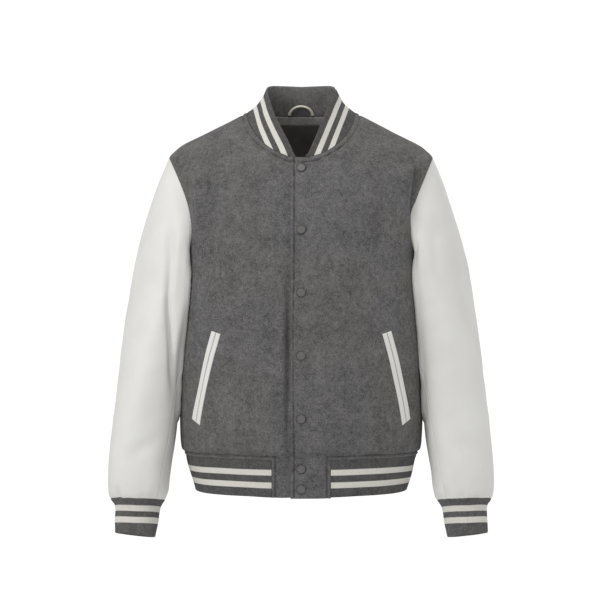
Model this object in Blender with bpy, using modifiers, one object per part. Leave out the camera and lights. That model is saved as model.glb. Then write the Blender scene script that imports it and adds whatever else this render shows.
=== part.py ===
"""Varsity jacket in its worn shape with no wearer: wool body, two-piece leather sleeves, striped rib trims.

Metres, +Z up. The front faces -Y and the wearer's left side is +X. The origin lies midway between
the two points where the shoulder seams meet the collar, which is where shoulders hold the jacket up.
The torso is a surface of angle and level: angle 0 is the centre front, 90 degrees the wearer's left
side seam and shoulder seam, 180 degrees the centre back. A level is a row of TORSO_SECTIONS.
"""

import math

import bmesh
import bpy
import mathutils
import numpy as np

WOOL = 0.0022  # wall thicknesses
LEATHER = 0.0016
RIB_KNIT = 0.0030
SATIN = 0.0010
WELT = 0.0012
SEAM_GAP = 0.0003  # between two pieces at a seam
ARMHOLE_INSET = 0.0005  # by which the sleeve's edge keeps back from the armhole
LAP_GAP = 0.0005  # between the two fronts where they lap

PLACKET_HALF = 0.018  # half the width of the lapped closure
TAB_HALF = 0.050  # where the hem rib ends, beside the cloth tab
COLLAR_END = 0.011  # where the collar ends, from the centre front
LAP_RAMP = 0.016  # over this width the under front rises beside the lap
TAB_DROP = 0.04  # share of the rib's height by which the upper tab is longer
SLEEVE_CLEAR = 0.0022  # between a sleeve and the torso that it hangs against

TORSO_COLUMNS = "side_z front_z back_z half_width front back square fall".split()
TORSO_SECTIONS = {
    "hem": (-0.6570, -0.6600, -0.6550, 0.1840, 0.124, 0.114, 2.35, 2.0),
    "hem_seam": (-0.5945, -0.5965, -0.5950, 0.1965, 0.129, 0.119, 2.35, 2.0),
    "blouse": (-0.5775, -0.5750, -0.5730, 0.2100, 0.140, 0.130, 2.35, 2.0),
    "waist": (-0.5200, -0.5180, -0.5150, 0.2120, 0.142, 0.129, 2.40, 2.0),
    "pocket": (-0.4300, -0.4330, -0.4320, 0.2095, 0.140, 0.124, 2.40, 2.0),
    "chest": (-0.3350, -0.3390, -0.3380, 0.2060, 0.138, 0.122, 2.40, 2.0),
    "armpit": (-0.2550, -0.2700, -0.2660, 0.2035, 0.135, 0.124, 2.35, 2.0),
    "armhole": (-0.1600, -0.2080, -0.1980, 0.2150, 0.130, 0.123, 2.20, 2.0),
    "tip": (-0.0770, -0.1620, -0.1430, 0.2305, 0.120, 0.114, 2.00, 2.0),
    "edge": (-0.0640, -0.1510, -0.1240, 0.2190, 0.117, 0.110, 2.00, 1.9),
    "shoulder": (-0.0528, -0.1380, -0.1000, 0.2040, 0.112, 0.104, 2.00, 1.9),
    "mid_shoulder": (-0.0332, -0.1140, -0.0560, 0.1650, 0.103, 0.090, 2.00, 1.6),
    "neck": (0.0022, -0.0830, 0.0020, 0.0945, 0.088, 0.066, 2.00, 1.2),
}
LEVEL = {name: row for row, name in enumerate(TORSO_SECTIONS)}

# turn is how far a section's front leans towards the body.
ARM_COLUMNS = "x y z half_x half_y turn".split()
ARM_SECTIONS = {
    "bicep": (0.2450, -0.006, -0.3000, 0.0440, 0.0760, 25),
    "upper": (0.2545, -0.010, -0.3780, 0.0480, 0.0740, 23),
    "elbow": (0.2630, -0.016, -0.4515, 0.0530, 0.0700, 17),
    "forearm": (0.2727, -0.027, -0.5565, 0.0555, 0.0630, 7),
    "lower": (0.2792, -0.034, -0.6150, 0.0540, 0.0575, 2),
    "full": (0.2817, -0.038, -0.6530, 0.0518, 0.0525, 0),
    "cuff_seam": (0.2822, -0.040, -0.6700, 0.0468, 0.0460, 0),
    "cuff_top": (0.2826, -0.042, -0.6830, 0.0390, 0.0380, 0),
    "cuff_mid": (0.2842, -0.046, -0.7070, 0.0368, 0.0365, 0),
    "cuff_end": (0.2868, -0.050, -0.7310, 0.0350, 0.0350, 0),
}
ARM = {name: row + 1 for row, name in enumerate(ARM_SECTIONS)}  # 0 is the armhole

# The armhole as a loop round the sleeve: 0 degrees is its front, 90 the armpit, 270 the shoulder tip.
ARMHOLE_FRONT = math.radians(30)  # how far it reaches from the side line
ARMHOLE_BACK = math.radians(24)
ARMHOLE_LOW = 1.45  # above 1 its widest place is below the middle
ARMHOLE_POINTED = 1.15

# The direction in which the sleeve leaves the armhole: outwards, backwards, upwards.
SLEEVE_LEAVES = {
    "front": (0.50, -0.28, -0.75),
    "armpit": (0.50, 0.00, -0.80),
    "back": (0.78, 0.34, -0.52),
    "tip": (0.44, 0.00, -0.90),
}
HEAD_EASE = 0.36  # share of the head's length over which it keeps that direction

# The under sleeve's two seams, as places round the sleeve at the armhole and below the elbow.
UNDER_FRONT = (75, 44)
UNDER_BACK = (165, 150)
UNDER_TURNS = 3.3  # the row down to which the seams move round

# The collar's upper edge from its front end to the centre back, by share of the way round.
COLLAR_COLUMNS = "share x y z".split()
COLLAR_EDGE = {
    "end": (0.00, 0.0115, -0.0895, -0.0795),
    "low": (0.14, 0.0240, -0.0810, -0.0500),
    "front": (0.30, 0.0385, -0.0660, -0.0140),
    "rise": (0.45, 0.0510, -0.0440, 0.0170),
    "side": (0.60, 0.0600, -0.0120, 0.0400),
    "turn": (0.74, 0.0605, 0.0200, 0.0520),
    "corner": (0.87, 0.0420, 0.0430, 0.0550),
    "back": (1.00, 0.0000, 0.0520, 0.0555),
}
COLLAR_HOLLOW = 0.0025  # how far the collar's side curves in between seam and edge
COLLAR_TALL = 0.05  # where the collar is lower than this, its side curves in less

# Soft folds of the body: each a line from one place to another, pressed in along its length.
FOLD_COLUMNS = "side angle_a z_a angle_b z_b width depth".split()
TORSO_FOLDS = {
    "left_chest_drape": (1, 56, -0.098, 57, -0.190, 0.010, 0.0040),
    "right_chest_drape": (-1, 46, -0.105, 51, -0.250, 0.013, 0.0055),
    "left_hem_crease": (1, 63, -0.545, 47, -0.590, 0.008, 0.0050),
    "right_hem_crease": (-1, 53, -0.562, 43, -0.594, 0.008, 0.0048),
    "right_hem_fall": (-1, 68, -0.545, 60, -0.585, 0.008, 0.0040),
    "left_hem_pucker": (1, 33, -0.570, 32, -0.596, 0.011, 0.0022),
    "right_hem_pucker": (-1, 35, -0.565, 36, -0.596, 0.012, 0.0026),
    "left_placket_fall": (1, 24, -0.300, 22, -0.560, 0.016, 0.0025),
    "right_placket_fall": (-1, 9, -0.380, 8.5, -0.590, 0.007, 0.0028),
    "left_side_fall": (1, 84, -0.300, 76, -0.540, 0.018, 0.0035),
    "right_side_fall": (-1, 84, -0.300, 76, -0.520, 0.018, 0.0035),
    "left_back_drape": (1, 122, -0.130, 128, -0.330, 0.020, 0.0050),
    "right_back_drape": (-1, 124, -0.120, 126, -0.300, 0.018, 0.0050),
    "left_back_hem": (1, 132, -0.540, 140, -0.590, 0.011, 0.0040),
    "right_back_hem": (-1, 118, -0.545, 127, -0.588, 0.010, 0.0045),
    "centre_back_hem": (1, 168, -0.520, 172, -0.590, 0.012, 0.0035),
    "right_centre_back": (-1, 158, -0.530, 153, -0.590, 0.011, 0.0035),
}
FOLD_RADIUS = 0.17  # turns a fold's angle into a distance round the body
FOLD_ENDS = 1.15  # a fold dies away over its ends, a little past them where this is above 1

# Soft folds of the sleeves, by place round the sleeve in degrees.
SLEEVE_FOLDS = {
    "right_front_fall": (-1, -37, -0.205, -6, -0.377, 0.012, 0.0042),
    "right_front_point": (-1, -6, -0.365, 36, -0.455, 0.011, 0.0055),
    "left_front_fall": (1, -14, -0.176, 26, -0.258, 0.011, 0.0034),
    "right_elbow": (-1, 100, -0.430, 40, -0.475, 0.012, 0.0035),
    "left_elbow": (1, 100, -0.440, 45, -0.480, 0.012, 0.0030),
    "right_forearm": (-1, 30, -0.560, -30, -0.600, 0.016, 0.0030),
    "left_forearm": (1, 20, -0.590, -25, -0.560, 0.016, 0.0025),
    "right_outer_fall": (-1, -40, -0.200, -35, -0.380, 0.020, 0.0030),
    "left_outer_fall": (1, -36, -0.160, -26, -0.340, 0.016, 0.0035),
    "right_back_fall": (-1, 215, -0.190, 200, -0.360, 0.016, 0.0060),
    "left_back_fall": (1, 210, -0.200, 200, -0.350, 0.016, 0.0060),
    "right_back_elbow": (-1, 190, -0.440, 235, -0.470, 0.013, 0.0045),
    "left_back_elbow": (1, 195, -0.450, 240, -0.480, 0.013, 0.0045),
    "right_cuff_tuck": (-1, -38, -0.640, -38, -0.672, 0.006, 0.0035),
    "left_cuff_tuck": (1, 42, -0.640, 42, -0.672, 0.006, 0.0030),
}
SLEEVE_FOLD_RADIUS = 0.06
HEAD_CLEARS = 0.40  # of the sleeve's head, in which it comes clear of the torso
HEAD_FOLDS = 0.33  # of the head, in which the sleeve's folds reach their depth
HEAD_FOLLOWS = 0.62  # of the head, over which the torso's folds at the armhole die away
CUFF_GATHERS = (9, 4)  # two counts of gathers round each cuff seam, which beat unevenly
CUFF_GATHER_DEPTH = 0.0012
CUFF_GATHER_RISE = 0.35  # where they are deepest, in rows above the seam
CUFF_GATHER_REACH = 0.45

POCKET = {"x_top": 0.1443, "z_top": -0.3806, "x_bottom": 0.1796, "z_bottom": -0.5339, "bow": 0.0025}
LIP_WIDTH = 0.0086
LIP_SLIT = 0.0008  # between the two lips of a pocket
LIP_CELLS = 14

SNAP_RADIUS = 0.0072
SNAP_HEIGHT = 0.0018
SNAP_EDGE = 0.0006
SNAP_SEAT = 0.0005  # between a snap and the cloth
SNAP_STEPS = 14
BODY_SNAPS = 5
FIRST_SNAP_Z = -0.1018
SNAP_PITCH = 0.1063
TAB_SNAPS_Z = (-0.6105, -0.6449)

FACING_DEPTH = 0.32  # how far the back neck facing reaches down over the lining, in levels
LINING_GAP = 0.001  # between the back and what lies inside it
LINING_EASE = 0.005  # by which the lining hangs free of the back's folds
LINING_LOW = 1.4  # the lining's lowest level
LINING_TOP_GAP = 0.04  # in levels, between the lining and the facing
LINING_END = math.radians(118)  # it stops short of the armholes
FACING_END = math.radians(100)
LOOP_HALF = 0.0205
LOOP_HEIGHT = 0.0160
LOOP_CLEAR = 0.0009  # between the loop's feet and the collar
LOOP_LEAN = 0.6  # how far it leans forward for each metre of rise
LOOP_RADIUS = 0.0019

AROUND_SLEEVE = 24  # cells round a sleeve, and twice those up each side of an armhole
LOW_LEVELS = (1, 1.35, 1.7, 2.1, 2.6, 3.1, 3.7, 4.3, 4.9, 5.4, 5.75, 6)
SHOULDER_CELLS = 7
TAB_CELLS = 4
LINING_CELLS = 12
LINING_ROWS = 18
PLACKET_MIDDLE = -0.004
PLACKET_COLUMNS = (COLLAR_END, PLACKET_HALF + 0.0015, 0.033, TAB_HALF)
HALVINGS = 40  # of the range of levels, to find a place on the front
CORNER_LEAST = 0.35  # keeps the inset of a sharp corner short
MITRE_MOST = 1.4  # the longest that a mitred wall end gets, in wall thicknesses
FRONT_CELLS = 9
BACK_CELLS = 24
BACK_EASE = 0.8  # how soon the back's rows leave the armholes' for the middle's levels
HEAD_CELLS = 7
ARM_CELLS = 12
CUFF_CELLS = 5
COLLAR_CELLS = 5

COLOURS = {
    "wool": ((0.115, 0.113, 0.112), 0.95),
    "leather": ((0.760, 0.755, 0.725), 0.55),
    "rib": ((0.105, 0.103, 0.104), 0.95),
    "snap": ((0.160, 0.160, 0.160), 0.45),
    "lining": ((0.012, 0.012, 0.011), 0.60),
    "cord": ((0.720, 0.690, 0.620), 0.80),
}


def columns_of(rows, names):
    """A table's columns by name, each as an array with one value for each row."""
    return {name: np.array([row[i] for row in rows.values()]) for i, name in enumerate(names)}


TORSO = columns_of(TORSO_SECTIONS, TORSO_COLUMNS)
ARM_TUBE = columns_of(ARM_SECTIONS, ARM_COLUMNS)
COLLAR_LINE = columns_of(COLLAR_EDGE, COLLAR_COLUMNS)


def along(values, position):
    """A smooth curve through a column, read at a row number that may be a fraction."""
    position = np.asarray(position, float)
    last = len(values) - 1
    low = np.clip(np.floor(position).astype(int), 0, last - 1)
    part = position - low
    start, end = values[low], values[low + 1]
    into = (end - values[np.maximum(low - 1, 0)]) / 2
    out = (values[np.minimum(low + 2, last)] - start) / 2
    return (
        start * (2 * part**3 - 3 * part**2 + 1)
        + into * (part**3 - 2 * part**2 + part)
        + end * (3 * part**2 - 2 * part**3)
        + out * (part**3 - part**2)
    )


def smooth(share):
    share = np.clip(share, 0, 1)
    return share * share * (3 - 2 * share)


def unit(vectors):
    return vectors / np.maximum(np.linalg.norm(vectors, axis=-1, keepdims=True), 1e-12)


def folds_of(table, radius):
    """A fold table's rows by column name, their angles turned into distances round the piece."""
    folds = [dict(zip(FOLD_COLUMNS, row)) for row in table.values()]
    for fold in folds:
        fold["place_a"] = radius * math.radians(fold["angle_a"])
        fold["place_b"] = radius * math.radians(fold["angle_b"])
    return folds


BODY_FOLDS = folds_of(TORSO_FOLDS, FOLD_RADIUS)
ARM_FOLDS = folds_of(SLEEVE_FOLDS, SLEEVE_FOLD_RADIUS)


def pressed_in(folds, side, place, height):
    """How deep the folds of one side press in at places across and heights, both in metres."""
    depth = np.zeros(np.broadcast(place, height).shape)
    for fold in folds:
        if fold["side"] != side:
            continue
        beside, above = place - fold["place_a"], height - fold["z_a"]
        across, up = fold["place_b"] - fold["place_a"], fold["z_b"] - fold["z_a"]
        share = (beside * across + above * up) / (across**2 + up**2)
        inside = np.clip(share, 0, 1)
        off = np.hypot(beside - inside * across, above - inside * up)
        ends = smooth(FOLD_ENDS - np.abs(2 * share - 1))
        depth = depth + fold["depth"] * ends * np.exp(-((off / fold["width"]) ** 2))
    return depth


def smooth_torso(angle, level):
    """Points of the torso's outer surface, before its folds."""
    section = {name: along(values, level) for name, values in TORSO.items()}
    sine, cosine = np.sin(angle), np.cos(angle)
    square = section["square"]
    reach = (np.abs(sine) ** square + np.abs(cosine) ** square) ** (-1 / square)
    ahead = cosine > 0
    depth = np.where(ahead, section["front"], section["back"])
    drop = np.where(ahead, section["front_z"], section["back_z"]) - section["side_z"]
    x = section["half_width"] * reach * sine
    y = -depth * reach * cosine
    z = section["side_z"] + drop * np.abs(cosine) ** section["fall"]
    return np.stack(np.broadcast_arrays(x, y, z), axis=-1)


def facing_out(surface, first, second, step=1e-4):
    """Outward unit normals of surface(first, second), which runs anticlockwise from outside."""
    across = surface(first + step, second) - surface(first - step, second)
    up = surface(first, second + step) - surface(first, second - step)
    return unit(np.cross(across, up))


def torso_depth(angle, height):
    """How deep the torso's folds press in at an angle and a height."""
    turn = np.mod(angle + math.pi, 2 * math.pi) - math.pi
    return sum(pressed_in(BODY_FOLDS, side, FOLD_RADIUS * side * turn, height) for side in (1, -1))


def torso(angle, level):
    """Points of the torso's outer surface, folds included."""
    points = smooth_torso(angle, level)
    depth = torso_depth(angle, points[..., 2])
    return points - facing_out(smooth_torso, angle, level) * depth[..., None]


def angle_at(x, level):
    """The angle at which the torso's section at a level reaches x, on its front."""
    square = along(TORSO["square"], level)
    sine = x / along(TORSO["half_width"], level)
    cosine = (1 - np.abs(sine) ** square) ** (1 / square)
    return np.arctan2(sine, cosine)


def front_place(x, z):
    """(angle, level) of the front's points at x and z, by halving the range of levels."""
    low, high = np.zeros_like(x * z), np.full_like(x * z, LEVEL["neck"])
    for _ in range(HALVINGS):
        middle = (low + high) / 2
        below = smooth_torso(angle_at(x, middle), middle)[..., 2] < z
        low, high = np.where(below, middle, low), np.where(below, high, middle)
    return angle_at(x, middle), middle


FINE_LEVELS = np.linspace(0, LEVEL["neck"], 441)
FINE_HEIGHTS = along(TORSO["side_z"], FINE_LEVELS)


def level_at(z):
    return np.interp(z, FINE_HEIGHTS, FINE_LEVELS)


def armhole(place):
    """(angle, level) of the left armhole at a place round the sleeve."""
    rise = (1 - np.sin(place)) / 2
    level = LEVEL["armpit"] + (LEVEL["tip"] - LEVEL["armpit"]) * rise**ARMHOLE_LOW
    reach = np.where(np.cos(place) > 0, ARMHOLE_FRONT, ARMHOLE_BACK)
    aside = np.sign(np.cos(place)) * np.abs(np.cos(place)) ** ARMHOLE_POINTED
    return math.pi / 2 - reach * aside, level


def arm_tube(place, row):
    """Points of the left sleeve from the bicep down, with no folds. Row 1 is the bicep."""
    section = {name: along(values, row - 1) for name, values in ARM_TUBE.items()}
    centre = np.stack([section[name] for name in "xyz"], axis=-1)
    ahead = np.stack([along(ARM_TUBE[name], row - 0.98) for name in "xyz"], axis=-1)
    behind = np.stack([along(ARM_TUBE[name], row - 1.02) for name in "xyz"], axis=-1)
    axis = unit(ahead - behind)
    back = unit(np.array([0.0, 1.0, 0.0]) - axis * axis[..., 1:2])
    out = np.cross(axis, back)
    turn = np.radians(section["turn"])[..., None]
    thin = out * np.cos(turn) - back * np.sin(turn)
    long = back * np.cos(turn) + out * np.sin(turn)
    thin_reach = -section["half_x"] * np.sin(place)
    long_reach = -section["half_y"] * np.cos(place)
    return centre + thin * thin_reach[..., None] + long * long_reach[..., None]


def clear_of_torso(points, share):
    """Sleeve points moved outwards, as far as share says, to hang just clear of the torso."""
    level = level_at(points[..., 2])
    square = along(TORSO["square"], level)
    depth = np.where(points[..., 1] < 0, along(TORSO["front"], level), along(TORSO["back"], level))
    inside = np.clip(1 - np.abs(points[..., 1] / depth) ** square, 0, 1)
    side = along(TORSO["half_width"], level) * inside ** (1 / square) + SLEEVE_CLEAR
    pushed = np.maximum(points[..., 0], side)
    moved = points.copy()
    moved[..., 0] += (pushed - points[..., 0]) * share
    return moved


def sleeve_head(place, row):
    """Points between the armhole at row 0 and the bicep at row 1: a Bezier curve at each place."""
    start = smooth_torso(*armhole(place))
    end = arm_tube(place, np.ones_like(place))
    shares = {
        "front": np.maximum(np.cos(place), 0) ** 2,
        "armpit": np.maximum(np.sin(place), 0) ** 2,
        "back": np.maximum(-np.cos(place), 0) ** 2,
        "tip": np.maximum(-np.sin(place), 0) ** 2,
    }
    leaves = sum(share[..., None] * np.array(SLEEVE_LEAVES[name]) for name, share in shares.items())
    arrives = unit(arm_tube(place, np.full_like(place, 1.02)) - end)
    length = HEAD_EASE * np.linalg.norm(end - start, axis=-1, keepdims=True)
    t = row[..., None]
    return (
        start * (1 - t) ** 3
        + (start + unit(leaves) * length) * 3 * t * (1 - t) ** 2
        + (end - arrives * length) * 3 * t**2 * (1 - t)
        + end * t**3
    )


def smooth_sleeve(place, row):
    """Points of the left sleeve's outer surface before its folds, from the armhole to the cuff's end."""
    place, row = np.broadcast_arrays(np.asarray(place, float), np.asarray(row, float))
    head = sleeve_head(place, np.clip(row, 0, 1))
    tube = arm_tube(place, np.maximum(row, 1))
    points = np.where((row < 1)[..., None], head, tube)
    return clear_of_torso(points, smooth(row / HEAD_CLEARS))


def sleeve(place, row, side):
    """Points of one sleeve's outer surface with its folds, side 1 for left and -1 for right."""
    points = smooth_sleeve(place, row)
    turn = np.mod(place + math.pi / 2, 2 * math.pi) - math.pi / 2
    depth = pressed_in(ARM_FOLDS, side, SLEEVE_FOLD_RADIUS * turn, points[..., 2])
    depth = depth * smooth(row / HEAD_FOLDS)
    many, few = CUFF_GATHERS
    gathers = np.sin(many * place + side) * np.sin(few * place + 1)
    seam = np.exp(-(((row - ARM["cuff_seam"] + CUFF_GATHER_RISE) / CUFF_GATHER_REACH) ** 2))
    depth = depth + CUFF_GATHER_DEPTH * gathers * seam * (row < ARM["cuff_seam"])
    out = facing_out(smooth_sleeve, place, row)
    points = points - out * depth[..., None]
    angle, level = armhole(place)
    followed = torso_depth(side * angle, smooth_torso(angle, level)[..., 2])
    followed = followed * (1 - smooth(row / HEAD_FOLLOWS))
    points = points - facing_out(smooth_torso, angle, level) * followed[..., None]
    points = clear_of_torso(points, smooth(row / HEAD_CLEARS))
    return points * np.array([side, 1, 1]), out * np.array([side, 1, 1])


def boundary_offsets(points, normals, keep, inset):
    """Moves that bring the kept cells' outer edges in, square to the edge and in the surface.
    inset holds how far, for each row of points."""
    rows, columns = keep.shape
    found = [[[] for _ in range(columns + 1)] for _ in range(rows + 1)]
    for i in range(rows):
        for j in range(columns):
            if not keep[i, j]:
                continue
            corners = [(i, j), (i, j + 1), (i + 1, j + 1), (i + 1, j)]
            beside = [(i - 1, j), (i, j + 1), (i + 1, j), (i, j - 1)]
            for k, (a, b) in enumerate(beside):
                if 0 <= a < rows and 0 <= b < columns and keep[a, b]:
                    continue
                start, end = corners[k], corners[(k + 1) % 4]
                edge = points[end] - points[start]
                inwards = np.cross(normals[start] + normals[end], edge)
                centre = sum(points[corner] for corner in corners) / 4
                if inwards @ (centre - (points[start] + points[end]) / 2) < 0:
                    inwards = -inwards
                for corner in (start, end):
                    found[corner[0]][corner[1]].append(unit(inwards))
    offsets = np.zeros_like(points)
    for i, row in enumerate(found):
        for j, directions in enumerate(row):
            if len(directions) == 1:
                offsets[i, j] = directions[0] * inset[i]
            elif directions:
                meeting = max(1 + directions[0] @ directions[1], CORNER_LEAST)
                offsets[i, j] = (directions[0] + directions[1]) / meeting * inset[i]
    return offsets


def mesh_object(name, mesh, colour):
    """A mesh as a named object of the jacket's collection, with its material."""
    made = bpy.data.objects.new(name, mesh)
    JACKET.objects.link(made)
    if colour not in bpy.data.materials:
        finish = bpy.data.materials.new(colour)
        finish.use_nodes = True
        shader = finish.node_tree.nodes["Principled BSDF"]
        base, roughness = COLOURS[colour]
        shader.inputs["Base Color"].default_value = (*base, 1)
        shader.inputs["Roughness"].default_value = roughness
    mesh.materials.append(bpy.data.materials[colour])
    return made


def wall(name, colour, outer, inner, keep=None):
    """A closed wall between two grids of points: one grid as an open sheet, extruded to the other.
    Rows run upwards and columns anticlockwise from above. keep says which cells there are. Where
    the last column lies on the first, the sheet is a tube."""
    rows, columns = outer.shape[:2]
    sheet = bmesh.new()
    bmesh.ops.create_grid(sheet, x_segments=columns - 1, y_segments=rows - 1, size=1)
    place = sheet.verts.layers.int.new("place")
    for vertex in sheet.verts:
        vertex[place] = vertex.index
        vertex.co = outer.reshape(-1, 3)[vertex.index]
    if keep is not None:
        dropped = [face for face, kept in zip(sheet.faces, keep.ravel()) if not kept]
        bmesh.ops.delete(sheet, geom=dropped, context="FACES")
    bmesh.ops.remove_doubles(sheet, verts=sheet.verts, dist=1e-6)
    extruded = bmesh.ops.extrude_face_region(sheet, geom=sheet.faces[:], use_keep_orig=True)
    for item in extruded["geom"]:
        if isinstance(item, bmesh.types.BMVert):
            item.co = inner.reshape(-1, 3)[item[place]]
    bmesh.ops.recalc_face_normals(sheet, faces=sheet.faces)
    mesh = bpy.data.meshes.new(name)
    sheet.to_mesh(mesh)
    sheet.free()
    mesh.attributes.remove(mesh.attributes["place"])
    mesh.shade_smooth()
    mesh.set_sharp_from_angle(angle=math.radians(40))
    return mesh_object(name, mesh, colour)


def panel(name, colour, points, normals, thickness, keep=None, mitres=None, last_inset=SEAM_GAP / 2):
    """A wall behind a grid of surface points, its edges brought in by half a seam's gap, and the last
    row by last_inset. mitres holds the ways in which the wall's edge leans, if not by the normals."""
    if keep is None:
        keep = np.ones((points.shape[0] - 1, points.shape[1] - 1), bool)
    inset = np.full(points.shape[0], SEAM_GAP / 2)
    inset[-1] = last_inset
    points = points + boundary_offsets(points, normals, keep, inset)
    lean = normals if mitres is None else mitres
    return wall(name, colour, points, points - lean * thickness, keep)


# The rows of the body panels. Beside an armhole they follow the places round the sleeve.
HALF_RING = AROUND_SLEEVE // 2
FRONT_PLACES = np.radians(np.linspace(90, -90, HALF_RING + 1))
BACK_PLACES = np.radians(np.linspace(90, 270, HALF_RING + 1))
SHOULDER_LEVELS = np.linspace(LEVEL["tip"], LEVEL["neck"], SHOULDER_CELLS + 1)[1:]
MIDDLE_LEVELS = np.concatenate(
    (LOW_LEVELS, np.linspace(LEVEL["armpit"], LEVEL["tip"], HALF_RING + 1)[1:], SHOULDER_LEVELS)
)
TAB_LEVELS = np.linspace(LEVEL["hem"], LEVEL["hem_seam"], TAB_CELLS + 1)[:-1]
ARMHOLE_ROWS = slice(len(LOW_LEVELS) - 1, len(LOW_LEVELS) + HALF_RING)


def side_line(places):
    """(angles, levels) of a body panel's side: side seam, one half of the armhole, shoulder seam."""
    angles, levels = armhole(places[1:-1])
    straight = math.pi / 2
    low = np.full(len(LOW_LEVELS), straight)
    high = np.full(len(SHOULDER_LEVELS) + 1, straight)
    return (
        np.concatenate((low, angles, high)),
        np.concatenate((LOW_LEVELS, levels, [LEVEL["tip"]], SHOULDER_LEVELS)),
    )


def armhole_mitres(places, side):
    """The directions halfway between the body's and the sleeve's normals round an armhole."""
    angle, level = armhole(places)
    body = facing_out(smooth_torso, angle, level)
    arm = facing_out(smooth_sleeve, places, np.full_like(places, 0.01))
    middle = unit(body + arm)
    longer = np.minimum(1 / (middle * body).sum(-1, keepdims=True), MITRE_MOST)
    return middle * longer * np.array([side, 1, 1])


def lap_depth(x_on_side):
    """How far the under front lies below the upper one, from its own side's x."""
    return (WOOL + LAP_GAP) * (1 - smooth((x_on_side - PLACKET_HALF - 0.001) / LAP_RAMP))


def front_grid(side):
    """(points, normals, kept cells, mitres) of a front panel, side 1 for left and -1 for right."""
    side_angles, side_levels = side_line(FRONT_PLACES)
    placket = np.array([-PLACKET_HALF, PLACKET_MIDDLE, *PLACKET_COLUMNS])
    tab_levels = TAB_LEVELS.copy()
    if side == 1:
        tab_levels[0] -= TAB_DROP
    levels = np.concatenate((tab_levels, MIDDLE_LEVELS))
    side_angles = np.concatenate((np.full(TAB_CELLS, math.pi / 2), side_angles))
    side_levels = np.concatenate((tab_levels, side_levels))
    near = angle_at(placket[None, :], levels[:, None])
    share = np.linspace(0, 1, FRONT_CELLS + 1)[None, 1:]
    far = near[:, -1:] + (side_angles[:, None] - near[:, -1:]) * share
    far_levels = levels[:, None] + (side_levels - levels)[:, None] * share
    angles = side * np.concatenate((near, far), axis=1)
    levels = np.concatenate((np.repeat(levels[:, None], len(placket), axis=1), far_levels), axis=1)
    points, normals = torso(angles, levels), facing_out(smooth_torso, angles, levels)
    keep = np.ones((points.shape[0] - 1, points.shape[1] - 1), bool)
    keep[:TAB_CELLS, len(placket) - 1 :] = False
    mitres = normals.copy()
    armhole_rows = slice(ARMHOLE_ROWS.start + TAB_CELLS, ARMHOLE_ROWS.stop + TAB_CELLS)
    mitres[armhole_rows, -1] = armhole_mitres(FRONT_PLACES, side)
    if side == -1:
        points = points - normals * lap_depth(-points[..., 0])[..., None]
    return points, normals, keep, mitres


def back_grid():
    """(points, normals, mitres) of the back panel, from the left side to the right side."""
    side_angles, side_levels = side_line(BACK_PLACES)
    share = np.linspace(0, 1, BACK_CELLS + 1)[None, :]
    middle = np.sin(math.pi * share) ** BACK_EASE
    angles = side_angles[:, None] + 2 * (math.pi - side_angles[:, None]) * share
    levels = side_levels[:, None] + (MIDDLE_LEVELS - side_levels)[:, None] * middle
    points, normals = torso(angles, levels), facing_out(smooth_torso, angles, levels)
    mitres = normals.copy()
    mitres[ARMHOLE_ROWS, 0] = armhole_mitres(BACK_PLACES, 1)
    mitres[ARMHOLE_ROWS, -1] = armhole_mitres(BACK_PLACES, -1)
    return points, normals, mitres


def girth_angles(level, start):
    """The fronts' and the back's column angles at a seam, from start on the left round to the right."""
    first = np.array([angle_at(x, level) for x in start])
    side = np.linspace(first[-1], math.pi / 2, FRONT_CELLS + 1)[1:]
    back = np.linspace(math.pi / 2, math.pi, BACK_CELLS // 2 + 1)[1:]
    left = np.concatenate((first, side, back))
    return np.concatenate((left, 2 * math.pi - left[-2::-1]))


def make_body():
    for side, name in ((1, "front_left"), (-1, "front_right")):
        points, normals, keep, mitres = front_grid(side)
        panel(name, "wool", points, normals, WOOL, keep, mitres)
    points, normals, mitres = back_grid()
    panel("back", "wool", points, normals, WOOL, None, mitres)


def make_hem_rib():
    angles = girth_angles(LEVEL["hem_seam"], (TAB_HALF,))
    ends = np.linspace(0, 1, len(angles))
    levels = np.append(TAB_LEVELS, LEVEL["hem_seam"])
    rows = []
    for level in levels:
        start = angle_at(TAB_HALF, level)
        slide = (start - angles[0]) * np.cos(math.pi * ends)
        rows.append(np.where((ends == 0) | (ends == 1), angles + slide, angles))
    angles = np.array(rows)
    levels = np.repeat(levels[:, None], angles.shape[1], axis=1)
    panel("hem_rib", "rib", torso(angles, levels), facing_out(smooth_torso, angles, levels), RIB_KNIT)


def make_neck_lining():
    """The wool facing inside the back neck, and the dark lining from there down to the hem seam."""
    facing_low = LEVEL["neck"] - FACING_DEPTH
    angles = np.linspace(FACING_END, 2 * math.pi - FACING_END, LINING_CELLS + 1)[None, :]
    levels = facing_low + FACING_DEPTH * np.array([0, 0.5, 1])[:, None]
    angles, levels = np.broadcast_arrays(angles, levels)
    normals = facing_out(smooth_torso, angles, levels)
    points = smooth_torso(angles, levels) - normals * (WOOL + LINING_GAP)
    panel("neck_facing", "wool", points, normals, WELT)
    angles = np.linspace(LINING_END, 2 * math.pi - LINING_END, LINING_CELLS + 1)[None, :]
    levels = np.linspace(LINING_LOW, facing_low - LINING_TOP_GAP, LINING_ROWS + 1)[:, None]
    angles, levels = np.broadcast_arrays(angles, levels)
    normals = facing_out(smooth_torso, angles, levels)
    ease = LINING_EASE * smooth((facing_low - levels) / 2)
    points = smooth_torso(angles, levels) - normals * (WOOL + LINING_GAP + ease)[..., None]
    panel("back_lining", "lining", points, normals, SATIN)


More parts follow.
